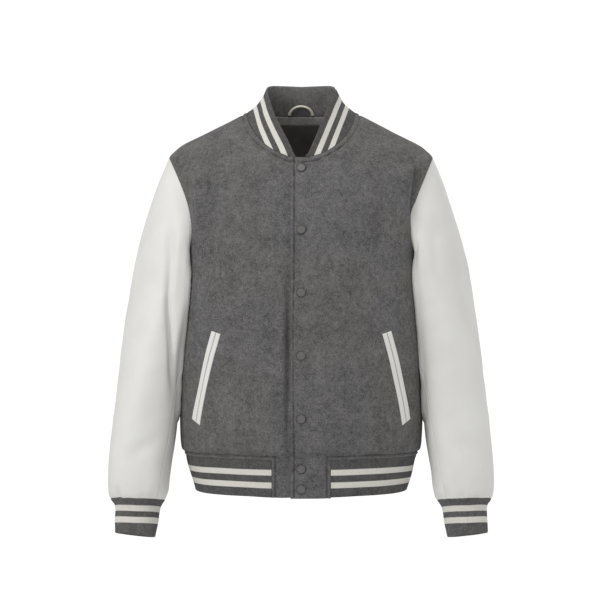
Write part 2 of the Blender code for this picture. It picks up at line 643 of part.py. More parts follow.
def sleeve_places(row):
    """Places of the sleeve's columns at a row, from the front seam of the under sleeve round it."""
    share = smooth(row / UNDER_TURNS)
    front = math.radians(UNDER_FRONT[0] + (UNDER_FRONT[1] - UNDER_FRONT[0]) * share)
    back = math.radians(UNDER_BACK[0] + (UNDER_BACK[1] - UNDER_BACK[0]) * share)
    under_cells = (UNDER_BACK[0] - UNDER_FRONT[0]) * AROUND_SLEEVE // 360
    under = np.linspace(front, back, under_cells + 1)
    upper = np.linspace(back, 2 * math.pi + front, AROUND_SLEEVE - under_cells + 1)
    return under, upper


SLEEVE_ROWS = np.concatenate(
    (
        np.linspace(0, 1, HEAD_CELLS + 1),
        np.linspace(1, ARM["full"], ARM_CELLS)[1:],
        [ARM["cuff_seam"] - 0.5, ARM["cuff_seam"]],
    )
)


def make_sleeve(side, name):
    """The under sleeve and the top sleeve of one side, upwards from the cuff seam."""
    for piece, label in ((0, "under_sleeve"), (1, "top_sleeve")):
        rows = SLEEVE_ROWS[::-1]
        places = np.array([sleeve_places(row)[piece] for row in rows])
        points, normals = sleeve(places, rows[:, None], side)
        mitres = normals.copy()
        mitres[-1] = armhole_mitres(places[-1], side)
        panel(f"{label}_{name}", "leather", points, normals, LEATHER, None, mitres, ARMHOLE_INSET)


def make_cuff(side, name):
    rows = np.linspace(ARM["cuff_seam"], ARM["cuff_end"], CUFF_CELLS + 1)[::-1]
    under, upper = sleeve_places(ARM["cuff_seam"])
    points, normals = sleeve(np.concatenate((under, upper[1:])), rows[:, None], side)
    points[-1, :, 2] -= SEAM_GAP / 2
    wall(f"cuff_{name}", "rib", points, points - normals * RIB_KNIT)


def collar_edge(share):
    """The collar's upper edge on the left, at a share of the way from its front end to the back."""
    row = np.interp(share, COLLAR_LINE["share"], np.arange(len(COLLAR_EDGE)))
    return np.stack([along(COLLAR_LINE[name], row) for name in "xyz"], axis=-1)


def make_collar():
    neck = LEVEL["neck"]
    angles = girth_angles(neck, PLACKET_COLUMNS)
    seam = torso(angles, np.full_like(angles, neck))
    out = facing_out(smooth_torso, angles, np.full_like(angles, neck))
    steps = np.linalg.norm(np.diff(seam, axis=0), axis=1)
    way = np.concatenate(([0], np.cumsum(steps))) / steps.sum() * 2
    right = way > 1
    edge = collar_edge(np.where(right, 2 - way, way)) * np.where(right, -1, 1)[:, None] ** [1, 2, 2]
    height = np.linspace(0, 1, COLLAR_CELLS + 1)[:, None, None]
    points = seam + (edge - seam) * height
    points[0, :, 2] += SEAM_GAP / 2
    normals = unit(np.cross(np.gradient(points, axis=1), edge - seam))
    tall = np.linalg.norm(edge - seam, axis=1)
    hollow = COLLAR_HOLLOW * smooth(tall / COLLAR_TALL)
    points = points - normals * 4 * height * (1 - height) * hollow[:, None]
    lap = np.where(seam[:, 0] < 0, lap_depth(-seam[:, 0]), 0) * (out[:, 1] < 0)
    points = points - out * lap[:, None]
    thin = np.minimum(RIB_KNIT, tall)[:, None]
    wall("collar", "rib", points, points - normals * thin)


def make_pockets():
    """Two leather lips on each front, made from the front's surface moved out."""
    top = np.array([POCKET["x_top"], POCKET["z_top"]])
    bottom = np.array([POCKET["x_bottom"], POCKET["z_bottom"]])
    down = np.linspace(1, 0, LIP_CELLS + 1)[:, None, None]
    way = unit(bottom - top)
    aside = np.array([-way[1], way[0]])
    bow = POCKET["bow"] * 4 * down * (1 - down)
    for side, side_name in ((1, "left"), (-1, "right")):
        for lip, lip_name in ((-1, "front"), (1, "rear")):
            edges = lip * (LIP_SLIT / 2 + LIP_WIDTH * np.array([0, 0.5, 1]))
            across = np.sort(edges)[None, :, None]
            spots = top + (bottom - top) * down + aside * (across + bow)
            angles, levels = front_place(spots[..., 0], spots[..., 1])
            if side == -1:
                angles, levels = -angles[:, ::-1], levels[:, ::-1]
            normals = facing_out(smooth_torso, angles, levels)
            foot = torso(angles, levels) + normals * SEAM_GAP
            top_face = foot + normals * WELT * np.array([0.7, 1.0, 0.7])[None, :, None]
            wall(f"pocket_{side_name}_{lip_name}_lip", "leather", top_face, foot)


def make_snap(name, z):
    """One snap cap, turned about the front's normal at its place."""
    angle, level = front_place(np.array(0.0), np.array(z))
    seat, out = torso(angle, level), facing_out(smooth_torso, angle, level)
    profile = [
        (0, SNAP_HEIGHT),
        (SNAP_RADIUS - 2.4 * SNAP_EDGE, SNAP_HEIGHT),
        (SNAP_RADIUS - SNAP_EDGE, SNAP_HEIGHT - SNAP_EDGE / 2),
        (SNAP_RADIUS, SNAP_HEIGHT - 1.6 * SNAP_EDGE),
        (SNAP_RADIUS, 0),
        (0, 0),
    ]
    mesh = bpy.data.meshes.new(name)
    edges = [(i, i + 1) for i in range(len(profile) - 1)]
    mesh.from_pydata([(radius, 0, height) for radius, height in profile], edges, [])
    cap = mesh_object(name, mesh, "snap")
    turning = cap.modifiers.new("turned", "SCREW")
    turning.steps = turning.render_steps = SNAP_STEPS
    turning.use_merge_vertices = True
    turning.merge_threshold = 0.0001
    x_axis = unit(np.cross([0, 0, 1], out))
    y_axis = np.cross(out, x_axis)
    frame = np.eye(4)
    frame[:3, :3] = np.stack((x_axis, y_axis, out), axis=1)
    frame[:3, 3] = seat + out * SNAP_SEAT
    cap.matrix_world = mathutils.Matrix(frame.tolist())


def make_snaps():
    heights = [FIRST_SNAP_Z - SNAP_PITCH * i for i in range(BODY_SNAPS)] + list(TAB_SNAPS_Z)
    for number, z in enumerate(heights, 1):
        make_snap(f"snap_{number}", z)


def make_hanger_loop():
    """A cord arch that stands inside the back of the collar, its feet at the neck seam."""
    line = bpy.data.curves.new("hanger_loop", "CURVE")
    line.dimensions = "3D"
    line.bevel_depth = LOOP_RADIUS
    line.bevel_resolution = 2
    line.use_fill_caps = True
    spline = line.splines.new("POLY")
    turns = np.radians(np.linspace(0, 180, 17))
    spline.points.add(len(turns) - 1)
    neck_back = TORSO["back"][-1]
    for point, turn in zip(spline.points, turns):
        rise = LOOP_HEIGHT * math.sin(turn)
        gap = RIB_KNIT + LOOP_RADIUS + LOOP_CLEAR
        x = LOOP_HALF * math.cos(turn)
        y = neck_back * math.sqrt(1 - (x / TORSO["half_width"][-1]) ** 2) - gap - LOOP_LEAN * rise
        point.co = (x, y, TORSO["back_z"][-1] + SEAM_GAP + rise, 1)
    loop = bpy.data.objects.new("hanger_loop", line)
    JACKET.objects.link(loop)
    bpy.context.view_layer.update()
    mesh = bpy.data.meshes.new_from_object(loop.evaluated_get(bpy.context.evaluated_depsgraph_get()))
    bpy.data.objects.remove(loop)
    welded = bmesh.new()
    welded.from_mesh(mesh)
    bmesh.ops.remove_doubles(welded, verts=welded.verts, dist=1e-5)
    welded.to_mesh(mesh)
    welded.free()
    mesh.materials.clear()
    mesh_object("hanger_loop", mesh, "cord")


for old in list(bpy.data.objects):
    bpy.data.objects.remove(old)
JACKET = bpy.data.collections.new("varsity_jacket")
bpy.context.scene.collection.children.link(JACKET)
make_body()
make_hem_rib()
make_neck_lining()
for arm_side, arm_name in ((1, "left"), (-1, "right")):
    make_sleeve(arm_side, arm_name)
    make_cuff(arm_side, arm_name)
make_collar()
make_pockets()
make_snaps()
make_hanger_loop()
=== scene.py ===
import math

import bpy
import numpy as np
from mathutils import Matrix, Vector


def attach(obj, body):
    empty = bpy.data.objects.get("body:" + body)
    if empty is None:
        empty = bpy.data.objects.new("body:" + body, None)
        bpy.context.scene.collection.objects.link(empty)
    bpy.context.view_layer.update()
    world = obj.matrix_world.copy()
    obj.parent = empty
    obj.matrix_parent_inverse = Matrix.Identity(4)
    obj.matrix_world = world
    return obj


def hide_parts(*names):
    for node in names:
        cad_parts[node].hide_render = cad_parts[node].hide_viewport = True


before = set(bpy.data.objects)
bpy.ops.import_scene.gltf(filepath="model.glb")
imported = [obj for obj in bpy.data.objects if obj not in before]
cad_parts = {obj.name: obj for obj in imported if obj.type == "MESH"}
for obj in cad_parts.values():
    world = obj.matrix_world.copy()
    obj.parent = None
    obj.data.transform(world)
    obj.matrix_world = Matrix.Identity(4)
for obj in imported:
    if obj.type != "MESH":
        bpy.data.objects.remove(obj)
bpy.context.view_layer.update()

# Metres, +Z up, front towards -Y, wearer's left at +X. The body is a surface of angle and level:
# angle 0 is the centre front, 90 degrees the left side and shoulder seams, 180 the centre back.
bodyColumns = "sideZ frontZ backZ halfWidth front back square fall".split()
bodySections = {
    "hem": (-0.6570, -0.6600, -0.6550, 0.1840, 0.124, 0.114, 2.35, 6.0),
    "hemSeam": (-0.5945, -0.5965, -0.5950, 0.2015, 0.129, 0.119, 2.35, 6.0),
    "blouse": (-0.5775, -0.5750, -0.5730, 0.2096, 0.140, 0.130, 2.35, 2.0),
    "waist": (-0.5200, -0.5180, -0.5150, 0.2120, 0.142, 0.129, 2.40, 2.0),
    "pocket": (-0.4300, -0.4330, -0.4320, 0.2095, 0.140, 0.124, 2.40, 2.0),
    "chest": (-0.3350, -0.3390, -0.3380, 0.2060, 0.138, 0.122, 2.40, 2.0),
    "armpit": (-0.2550, -0.2700, -0.2660, 0.2035, 0.135, 0.124, 2.35, 2.0),
    "armhole": (-0.1600, -0.2080, -0.1980, 0.2150, 0.130, 0.123, 2.20, 2.0),
    "tip": (-0.0770, -0.1620, -0.1430, 0.2305, 0.120, 0.114, 2.00, 2.0),
    "edge": (-0.0640, -0.1510, -0.1240, 0.2190, 0.117, 0.110, 2.00, 1.9),
    "shoulder": (-0.0528, -0.1380, -0.1000, 0.2040, 0.112, 0.104, 2.00, 1.9),
    "midShoulder": (-0.0332, -0.1140, -0.0560, 0.1650, 0.103, 0.090, 2.00, 1.6),
    "neck": (0.0022, -0.0816, 0.0020, 0.0945, 0.088, 0.066, 2.00, 1.2),
}
level = {name: row for row, name in enumerate(bodySections)}

# The sleeve below the armhole: centre, half widths across and front to back, how it is turned, and
# how square its section is.
armColumns = "x y z halfX halfY turn square".split()
armSections = {
    "bicep": (0.2450, -0.006, -0.3000, 0.0440, 0.0760, 25, 2.35),
    "upper": (0.2545, -0.010, -0.3780, 0.0480, 0.0740, 23, 2.35),
    "elbow": (0.2630, -0.016, -0.4515, 0.0530, 0.0700, 17, 2.20),
    "forearm": (0.2727, -0.027, -0.5565, 0.0555, 0.0630, 7, 2.40),
    "lower": (0.2792, -0.034, -0.6150, 0.0540, 0.0575, 2, 2.40),
    "full": (0.2817, -0.038, -0.6530, 0.0518, 0.0525, 0, 2.30),
    "cuffSeam": (0.2822, -0.040, -0.6700, 0.0468, 0.0460, 0, 2.10),
    "cuffTop": (0.2826, -0.042, -0.6830, 0.0390, 0.0380, 0, 2.00),
    "cuffMiddle": (0.2842, -0.046, -0.7070, 0.0368, 0.0365, 0, 2.00),
    "cuffEnd": (0.2868, -0.050, -0.7310, 0.0350, 0.0350, 0, 2.00),
}
arm = {name: row + 1 for row, name in enumerate(armSections)}  # row 0 is the armhole

# The shoulder's end slopes straight to its tip: by how much it drops and draws in, and how near.
shoulderEnd = {"drop": 0.033, "drawn": 0.22, "near": 20}

# Places round an armhole: 0 is its front, 90 degrees the armpit, 270 the shoulder tip.
armholeCut = {
    "front": math.radians(30),
    "back": math.radians(24),
    "low": 1.45,
    "pointed": 1.15,
    "step": 0.01,  # the row at which the sleeve's outward direction is read
}
sleeveLeaves = {
    "front": (0.50, -0.28, -0.75),
    "armpit": (0.50, 0.00, -0.80),
    "back": (0.78, 0.34, -0.52),
    "tip": (0.44, 0.00, -0.90),
}
sleeveCut = {
    "headEase": 0.36,
    "wayStep": 0.02,  # in rows, over which the tube's way is read
    "clear": 0.0007,  # from the body that it hangs against
    "hug": (0.0115, 0.0020),  # nearer than this it is drawn to the body, above and below hugsTo
    "hugsTo": -0.545,
    "hugFade": 0.03,
    # with each row from the armhole, how fast it clears the body and its own folds set in, and how
    # fast the body's folds end
    "clears": 2.5,
    "foldsStart": 3,
    "bodyFoldsEnd": 1.6,
    "underFront": (75, 44),  # the under sleeve's seams, as places at the armhole and below the elbow
    "underBack": (165, 150),
    "seamDrop": 2.6,
}

# The front closure and the collar.
closure = {
    "half": 0.018,
    "past": 0.001,  # the lap is full until this far past the placket's edge
    "tab": 0.050,
    "ramp": 0.016,
    "drop": 0.04,
    "gap": 0.0005,
}
collarEnds = {"left": 0.0072, "right": 0.0110}  # from the centre front
collarColumns = "share x y z".split()
collarEdge = {
    "end": (0.00, 0.0105, -0.0895, -0.0795),
    "low": (0.14, 0.0230, -0.0810, -0.0500),
    "front": (0.30, 0.0382, -0.0660, -0.0140),
    "rise": (0.45, 0.0510, -0.0440, 0.0170),
    "side": (0.60, 0.0600, -0.0120, 0.0390),
    "turn": (0.73, 0.0607, 0.0190, 0.0480),
    "bend": (0.80, 0.0556, 0.0320, 0.0522),
    "corner": (0.88, 0.0420, 0.0430, 0.0540),
    "back": (1.00, 0.0000, 0.0520, 0.0532),
}
collarLeans = {"place": 0.34, "width": 0.17, "far": 0.0046}  # the right side stands wider open

sides = {1: "left", -1: "right"}  # the wearer's

# Folds of each side: angle and height of one end, of the other end, width, depth.
bodyFolds = {
    1: {
        "chestDrape": (59, -0.072, 60, -0.200, 0.0055, 0.0085),
        "chestRidge": (51, -0.075, 52, -0.230, 0.009, -0.0045),
        "chestFall": (38, -0.070, 39, -0.290, 0.012, 0.0060),
        "hemCrease": (63, -0.545, 47, -0.590, 0.008, 0.0050),
        "hemPucker": (33, -0.570, 32, -0.596, 0.011, 0.0022),
        "placketRidge": (14, -0.210, 13, -0.590, 0.034, -0.0080),
        "sideFall": (84, -0.300, 76, -0.540, 0.018, 0.0035),
        "backDrape": (122, -0.130, 128, -0.330, 0.020, 0.0050),
        "backHem": (132, -0.540, 140, -0.590, 0.011, 0.0040),
        "centreBackHem": (168, -0.520, 172, -0.590, 0.012, 0.0035),
    },
    -1: {
        "chestDrape": (43, -0.080, 44, -0.270, 0.013, 0.0090),
        "chestRidge": (53, -0.080, 54, -0.240, 0.009, -0.0070),
        "hemCrease": (53, -0.562, 43, -0.594, 0.006, 0.0048),
        "hemFall": (68, -0.545, 60, -0.585, 0.008, 0.0040),
        "hemPucker": (35, -0.565, 36, -0.596, 0.012, 0.0026),
        "placketFall": (9, -0.380, 9, -0.585, 0.010, 0.0020),
        "placketShadow": (6.0, -0.250, 6.0, -0.612, 0.0036, 0.0090),
        "sideFall": (52, -0.250, 54, -0.540, 0.014, 0.0038),
        "backDrape": (124, -0.120, 126, -0.300, 0.018, 0.0050),
        "backHem": (118, -0.545, 127, -0.588, 0.010, 0.0045),
        "centreBack": (158, -0.530, 153, -0.590, 0.011, 0.0035),
    },
}
sleeveFolds = {
    1: {
        "frontFall": (-14, -0.176, 26, -0.258, 0.008, 0.0034),
        "elbow": (100, -0.440, 45, -0.480, 0.012, 0.0030),
        "forearm": (20, -0.590, -25, -0.560, 0.016, 0.0025),
        "outerFall": (-36, -0.160, -26, -0.340, 0.014, 0.0035),
        "backFall": (210, -0.200, 200, -0.350, 0.016, 0.0060),
        "backElbow": (195, -0.450, 240, -0.480, 0.013, 0.0045),
        "cuffTuck": (42, -0.640, 42, -0.672, 0.006, 0.0030),
    },
    -1: {
        "frontFall": (-36, -0.170, -1, -0.395, 0.011, 0.0080),
        "frontPoint": (-18, -0.310, 38, -0.490, 0.0060, 0.0095),
        "frontRidge": (19, -0.180, 22, -0.430, 0.012, -0.0065),
        "elbow": (100, -0.430, 40, -0.475, 0.012, 0.0035),
        "forearm": (30, -0.560, -30, -0.600, 0.016, 0.0030),
        "outerFall": (-40, -0.200, -35, -0.380, 0.020, 0.0030),
        "backFall": (215, -0.190, 200, -0.360, 0.016, 0.0060),
        "backElbow": (190, -0.440, 235, -0.470, 0.013, 0.0045),
        "cuffTuck": (-38, -0.640, -38, -0.672, 0.006, 0.0035),
    },
}
foldRound = {"body": 0.17, "sleeve": 0.06}  # radii that turn a fold's angles into distances
foldFade = 1.15  # how far its ends reach before they fade, where 1 is at the end itself

# The worn cloth's soft unevenness: lumps of these sizes, heights and seeds, which lie askew so that
# the front and back differ, and are smaller at the sides.
bodyLumps = {
    "waves": ((0.03, 0.0003, 11), (0.09, 0.0011, 12)),
    "askew": (-0.8, 0.6),
    "calmNeck": 0.5,
    "calmSides": (0.6, 6),
}


def columnsOf(rows, names):
    return {name: np.array([row[i] for row in rows.values()]) for i, name in enumerate(names)}


bodyTable = columnsOf(bodySections, bodyColumns)
armTable = columnsOf(armSections, armColumns)
collarTable = columnsOf(collarEdge, collarColumns)


def along(values, position):
    # a smooth curve through a column, read at a row number that may be a fraction
    position = np.asarray(position, float)
    last = len(values) - 1
    low = np.clip(np.floor(position).astype(int), 0, last - 1)
    part = position - low
    start, end = values[low], values[low + 1]
    into = (end - values[np.maximum(low - 1, 0)]) / 2
    out = (values[np.minimum(low + 2, last)] - start) / 2
    return (
        start * (2 * part**3 - 3 * part**2 + 1)
        + into * (part**3 - 2 * part**2 + part)
        + end * (3 * part**2 - 2 * part**3)
        + out * (part**3 - part**2)
    )


def smooth(share):
    share = np.clip(share, 0, 1)
    return share * share * (3 - 2 * share)


def unit(vectors):
    return vectors / np.maximum(np.linalg.norm(vectors, axis=-1, keepdims=True), 1e-12)


def pressedIn(folds, radius, place, height):
    # how deep folds press in, at places round the piece and heights in metres
    depth = np.zeros(np.broadcast(place, height).shape)
    for angleA, zA, angleB, zB, width, deep in folds.values():
        placeA, placeB = radius * math.radians(angleA), radius * math.radians(angleB)
        across, up = placeB - placeA, zB - zA
        share = ((place - placeA) * across + (height - zA) * up) / (across**2 + up**2)
        inside = np.clip(share, 0, 1)
        off = np.hypot(place - placeA - inside * across, height - zA - inside * up)
        depth = depth + deep * smooth(foldFade - np.abs(2 * share - 1)) * np.exp(-((off / width) ** 2))
    return depth


def uneven(u, v, size, seed, waves=7, spread=(1.4, 3.2)):
    # soft unevenness between about -1 and 1, with lumps of roughly this size in metres
    rng = np.random.default_rng(seed)
    total = np.zeros(np.broadcast(u, v).shape)
    for _ in range(waves):
        turn, phase = rng.uniform(0, 2 * math.pi, 2)
        pitch = size * rng.uniform(*spread)
        total = total + np.sin(2 * math.pi * (u * math.cos(turn) + v * math.sin(turn)) / pitch + phase)
    return total / math.sqrt(waves)


def facingOut(surface, first, second, step=1e-4):
    across = surface(first + step, second) - surface(first - step, second)
    up = surface(first, second + step) - surface(first, second - step)
    return unit(np.cross(across, up))


def smoothBody(angle, row):
    section = {name: along(values, row) for name, values in bodyTable.items()}
    sine, cosine = np.sin(angle), np.cos(angle)
    square = section["square"]
    reach = (np.abs(sine) ** square + np.abs(cosine) ** square) ** (-1 / square)
    ahead = cosine > 0
    depth = np.where(ahead, section["front"], section["back"])
    drop = np.where(ahead, section["frontZ"], section["backZ"]) - section["sideZ"]
    x = section["halfWidth"] * reach * sine
    y = -depth * reach * cosine
    z = section["sideZ"] + drop * np.abs(cosine) ** section["fall"]
    beyond = np.clip(row - level["tip"], 0, 1)
    dropped = shoulderEnd["drop"] * beyond * (1 - beyond) ** 2 * np.abs(sine) ** shoulderEnd["near"]
    x = x - np.sign(sine) * shoulderEnd["drawn"] * dropped
    return np.stack(np.broadcast_arrays(x, y, z - dropped), axis=-1)


def bodyDepth(angle, row):
    # how deep the body lies under the smooth body: its folds, less the cloth's unevenness
    x, y, z = np.moveaxis(smoothBody(angle, row), -1, 0)
    turn = np.mod(angle + math.pi, 2 * math.pi) - math.pi
    radius = foldRound["body"]
    depth = sum(pressedIn(bodyFolds[side], radius, radius * side * turn, z) for side in (1, -1))
    askewX, askewZ = bodyLumps["askew"]
    u, v = x + askewX * y, z + askewZ * y
    lumps = sum(height * uneven(u, v, size, seed) for size, height, seed in bodyLumps["waves"])
    share, power = bodyLumps["calmSides"]
    calm = smooth((level["neck"] - row) / bodyLumps["calmNeck"])
    return depth - lumps * calm * (1 - share * np.sin(angle) ** power)


def foldedBody(angle, row):
    # the body's points, and the directions out of the smooth body there
    out = facingOut(smoothBody, angle, row)
    return smoothBody(angle, row) - out * bodyDepth(angle, row)[..., None], out


def angleAt(x, row):
    square = along(bodyTable["square"], row)
    sine = x / along(bodyTable["halfWidth"], row)
    return np.arctan2(sine, (1 - np.abs(sine) ** square) ** (1 / square))


def frontPlace(x, z, halvings=40):
    # angle and level of the front's points at x and z, by halving the range of levels
    low, high = np.zeros_like(x * z), np.full_like(x * z, level["neck"])
    for _ in range(halvings):
        middle = (low + high) / 2
        below = smoothBody(angleAt(x, middle), middle)[..., 2] < z
        low, high = np.where(below, middle, low), np.where(below, high, middle)
    return angleAt(x, middle), middle


def armhole(place):
    rise = (1 - np.sin(place)) / 2
    row = level["armpit"] + (level["tip"] - level["armpit"]) * rise ** armholeCut["low"]
    reach = np.where(np.cos(place) > 0, armholeCut["front"], armholeCut["back"])
    aside = np.sign(np.cos(place)) * np.abs(np.cos(place)) ** armholeCut["pointed"]
    return math.pi / 2 - reach * aside, row


def armTube(place, row):
    section = {name: along(values, row - 1) for name, values in armTable.items()}
    centre = np.stack([section[name] for name in "xyz"], axis=-1)
    step = sleeveCut["wayStep"]
    ahead, behind = (
        np.stack([along(armTable[name], row - before) for name in "xyz"], axis=-1)
        for before in (1 - step, 1 + step)
    )
    axis = unit(ahead - behind)
    back = unit(np.array([0.0, 1.0, 0.0]) - axis * axis[..., 1:2])
    out = np.cross(axis, back)
    turn = np.radians(section["turn"])[..., None]
    thin = out * np.cos(turn) - back * np.sin(turn)
    long = back * np.cos(turn) + out * np.sin(turn)
    square = section["square"]
    reach = (np.abs(np.sin(place)) ** square + np.abs(np.cos(place)) ** square) ** (-1 / square)
    thinReach = -section["halfX"] * reach * np.sin(place)
    longReach = -section["halfY"] * reach * np.cos(place)
    return centre + thin * thinReach[..., None] + long * longReach[..., None]


# The height of the body's sides, level by level.
fineLevels = np.linspace(0, level["neck"], 1201)
fineHeights = along(bodyTable["sideZ"], fineLevels)


def clearOfBody(points, share):
    # sleeve points moved outwards, as far as share says, to hang just clear of the body
    row = np.interp(points[..., 2], fineHeights, fineLevels)
    square = along(bodyTable["square"], row)
    depth = np.where(points[..., 1] < 0, along(bodyTable["front"], row), along(bodyTable["back"], row))
    inside = np.clip(1 - np.abs(points[..., 1] / depth) ** square, 0, 1)
    side = along(bodyTable["halfWidth"], row) * inside ** (1 / square) + sleeveCut["clear"]
    away = points[..., 0] - side
    above, below = sleeveCut["hug"]
    higher = smooth((points[..., 2] - sleeveCut["hugsTo"]) / sleeveCut["hugFade"])
    hug = below + (above - below) * higher
    hung = np.maximum(away, 0) * smooth(away / hug)
    moved = points.copy()
    moved[..., 0] += (hung - away) * share
    return moved


def sleeveHead(place, row):
    # a Bezier curve at each place, from the armhole at row 0 to the bicep at row 1
    start = smoothBody(*armhole(place))
    end = armTube(place, np.ones_like(place))
    shares = {
        "front": np.maximum(np.cos(place), 0) ** 2,
        "armpit": np.maximum(np.sin(place), 0) ** 2,
        "back": np.maximum(-np.cos(place), 0) ** 2,
        "tip": np.maximum(-np.sin(place), 0) ** 2,
    }
    leaves = sum(share[..., None] * np.array(sleeveLeaves[name]) for name, share in shares.items())
    arrives = unit(armTube(place, np.full_like(place, 1 + sleeveCut["wayStep"])) - end)
    length = sleeveCut["headEase"] * np.linalg.norm(end - start, axis=-1, keepdims=True)
    t = row[..., None]
    return (
        start * (1 - t) ** 3
        + (start + unit(leaves) * length) * 3 * t * (1 - t) ** 2
        + (end - arrives * length) * 3 * t**2 * (1 - t)
        + end * t**3
    )


def smoothSleeve(place, row):
    place, row = np.broadcast_arrays(np.asarray(place, float), np.asarray(row, float))
    head = sleeveHead(place, np.clip(row, 0, 1))
    tube = armTube(place, np.maximum(row, 1))
    points = np.where((row < 1)[..., None], head, tube)
    return clearOfBody(points, smooth(row * sleeveCut["clears"]))


def gradedStops(stops, coarse, growth=0.4, samples=600):
    # places from the first stop to the last, as close together near each stop as it says
    places = [stops[0][0]]
    for (low, _), (high, _) in zip(stops, stops[1:]):
        sample = np.linspace(low, high, samples)
        gaps = [gap + growth * np.abs(sample - place) for place, gap in stops]
        density = 1 / np.minimum(np.min(gaps, axis=0), coarse)
        steps = (density[1:] + density[:-1]) / 2 * np.diff(sample)
        count = np.concatenate(([0], np.cumsum(steps)))
        cells = max(1, round(count[-1]))
        places.extend(np.interp(np.arange(1, cells + 1) * count[-1] / cells, count, sample))
    return np.array(places)


def gradedShares(length, start, end, coarse):
    # shares of a length, closer together towards its two ends
    return gradedStops([(0, start), (length, end)], coarse) / length


def runAlong(points, axis):
    # the distance that each line of points has run by each of its points
    steps = np.linalg.norm(np.diff(points, axis=axis), axis=-1)
    run = np.cumsum(steps, axis=axis)
    return np.concatenate((np.zeros_like(run.take([0], axis)), run), axis=axis)


def fromEdges(points):
    # each point's distance over the cloth from the grid's left, right, lower and upper edges
    left, low = runAlong(points, 1), runAlong(points, 0)
    return left, left[:, -1:] - left, low, low[-1:] - low


def pressedAt(away, place, width):
    return np.exp(-(((away - place) / width) ** 2))


def bulged(share):
    return np.sqrt(np.clip(1 - (1 - np.clip(share, 0, 1)) ** 2, 0, 1))


def gridMesh(name, outer, inner, keep=None, closed=False, lay=None, shadeAndThread=None):
    # a closed wall between two grids of points: rows run up, columns anticlockwise from above
    rows, columns = outer.shape[:2]
    index = np.arange(rows * columns).reshape(rows, columns)
    across = np.concatenate((index, index[:, :1]), axis=1) if closed else index
    a, b, c, d = across[:-1, :-1], across[:-1, 1:], across[1:, 1:], across[1:, :-1]
    keep = np.ones(a.shape, bool) if keep is None else keep
    fence = np.pad(keep, 1)
    if closed:
        fence[:, 0], fence[:, -1] = fence[:, -2], fence[:, 1]
    far = rows * columns
    outside = np.stack((a, b, c, d), axis=-1)[keep]
    inside = np.stack((d, c, b, a), axis=-1)[keep] + far
    rims = []
    for start, end, beside in (
        (a, b, fence[:-2, 1:-1]),
        (b, c, fence[1:-1, 2:]),
        (c, d, fence[2:, 1:-1]),
        (d, a, fence[1:-1, :-2]),
    ):
        bare = keep & ~beside
        first, last = start[bare], end[bare]
        rims.append(np.stack((last, first, first + far, last + far), axis=-1))
    faces = np.concatenate((outside, *rims, inside))
    points = np.concatenate((outer.reshape(-1, 3), inner.reshape(-1, 3)))
    used, flat = np.unique(faces, return_inverse=True)
    mesh = bpy.data.meshes.new(name)
    mesh.from_pydata(points[used].tolist(), [], flat.reshape(faces.shape).tolist())
    kinds = np.zeros(len(faces), np.int32)
    kinds[-len(inside):] = 1  # the inside, which may have another material
    mesh.polygons.foreach_set("material_index", kinds)
    if lay is not None:
        spots = np.tile(lay.reshape(-1, 2), (2, 1))[used]
        loops = np.zeros(len(mesh.loops), np.int32)
        mesh.loops.foreach_get("vertex_index", loops)
        layer = mesh.uv_layers.new(name="lay")
        layer.data.foreach_set("uv", spots[loops].astype(np.float32).ravel())
    # per point, how far the stitches' colour and painted shade darken the cloth
    if shadeAndThread is not None:
        values = np.tile(shadeAndThread.ravel(), 2)[used]
        layer = mesh.attributes.new("shadeAndThread", "FLOAT", "POINT")
        layer.data.foreach_set("value", values.astype(np.float32))
    mesh.shade_smooth()
    mesh.update()
    return mesh


def addToScene(name, data):
    thing = bpy.data.objects.new(name, data)
    bpy.context.scene.collection.objects.link(thing)
    return thing


def addPiece(mesh, materials, node):
    piece = addToScene(mesh.name, mesh)
    for material in materials:
        mesh.materials.append(material)
    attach(piece, "root")
    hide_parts(node)
    return piece


def wallOf(points, normals, thick, rounding, away, relief=0.0, lean=None):
    # outer and inner grids of a wall whose edges turn in: away holds each point's distances from
    # them, and rounding the radius and share of each one's turn
    full = np.ones(points.shape[:2])
    for name, distances in away.items():
        radius, share = rounding[name]
        full = np.minimum(full, 1 - share * (1 - bulged(distances / radius)))
    lean = normals if lean is None else lean
    raised = points + normals * np.asarray(relief)[..., None]
    outer = raised - lean * (thick / 2 * (1 - full))[..., None]
    inner = raised - lean * (thick / 2 * (1 + full))[..., None]
    return outer, inner


# Node groups and materials.


def feed(node, values):
    # a socket is linked, and a number or colour is set on the node's own input
    for name, value in values.items():
        if isinstance(value, bpy.types.NodeSocket):
            node.id_data.links.new(value, node.inputs[name])
        else:
            node.inputs[name].default_value = value


def addNode(tree, kind, inputs=None, **settings):
    node = tree.nodes.new(kind)
    for name, value in settings.items():
        setattr(node, name, value)
    feed(node, inputs or {})
    return node


def maths(tree, operation, first, second=0.0):
    return addNode(tree, "ShaderNodeMath", {0: first, 1: second}, operation=operation).outputs[0]


def mixColours(tree, factor, first, second, blend="MIX"):
    inputs = {0: factor, 6: first, 7: second}  # the colour mix's own sockets
    return addNode(tree, "ShaderNodeMix", inputs, data_type="RGBA", blend_type=blend).outputs[2]


def stretched(tree, value, low, high, to=(0.0, 1.0), smoothly=True):
    inputs = {"Value": value, "From Min": low, "From Max": high, "To Min": to[0], "To Max": to[1]}
    kind = "SMOOTHSTEP" if smoothly else "LINEAR"
    return addNode(tree, "ShaderNodeMapRange", inputs, interpolation_type=kind).outputs["Result"]


def noise(tree, place, scale, detail=2.0, roughness=0.5):
    inputs = {"Vector": place, "Scale": scale, "Detail": detail, "Roughness": roughness}
    return addNode(tree, "ShaderNodeTexNoise", inputs).outputs["Fac"]


def weave(tree, place, scale, distortion):
    inputs = {"Vector": place, "Scale": scale, "Distortion": distortion}
    settings = {"wave_type": "BANDS", "bands_direction": "DIAGONAL"}
    return addNode(tree, "ShaderNodeTexWave", inputs, **settings).outputs["Fac"]


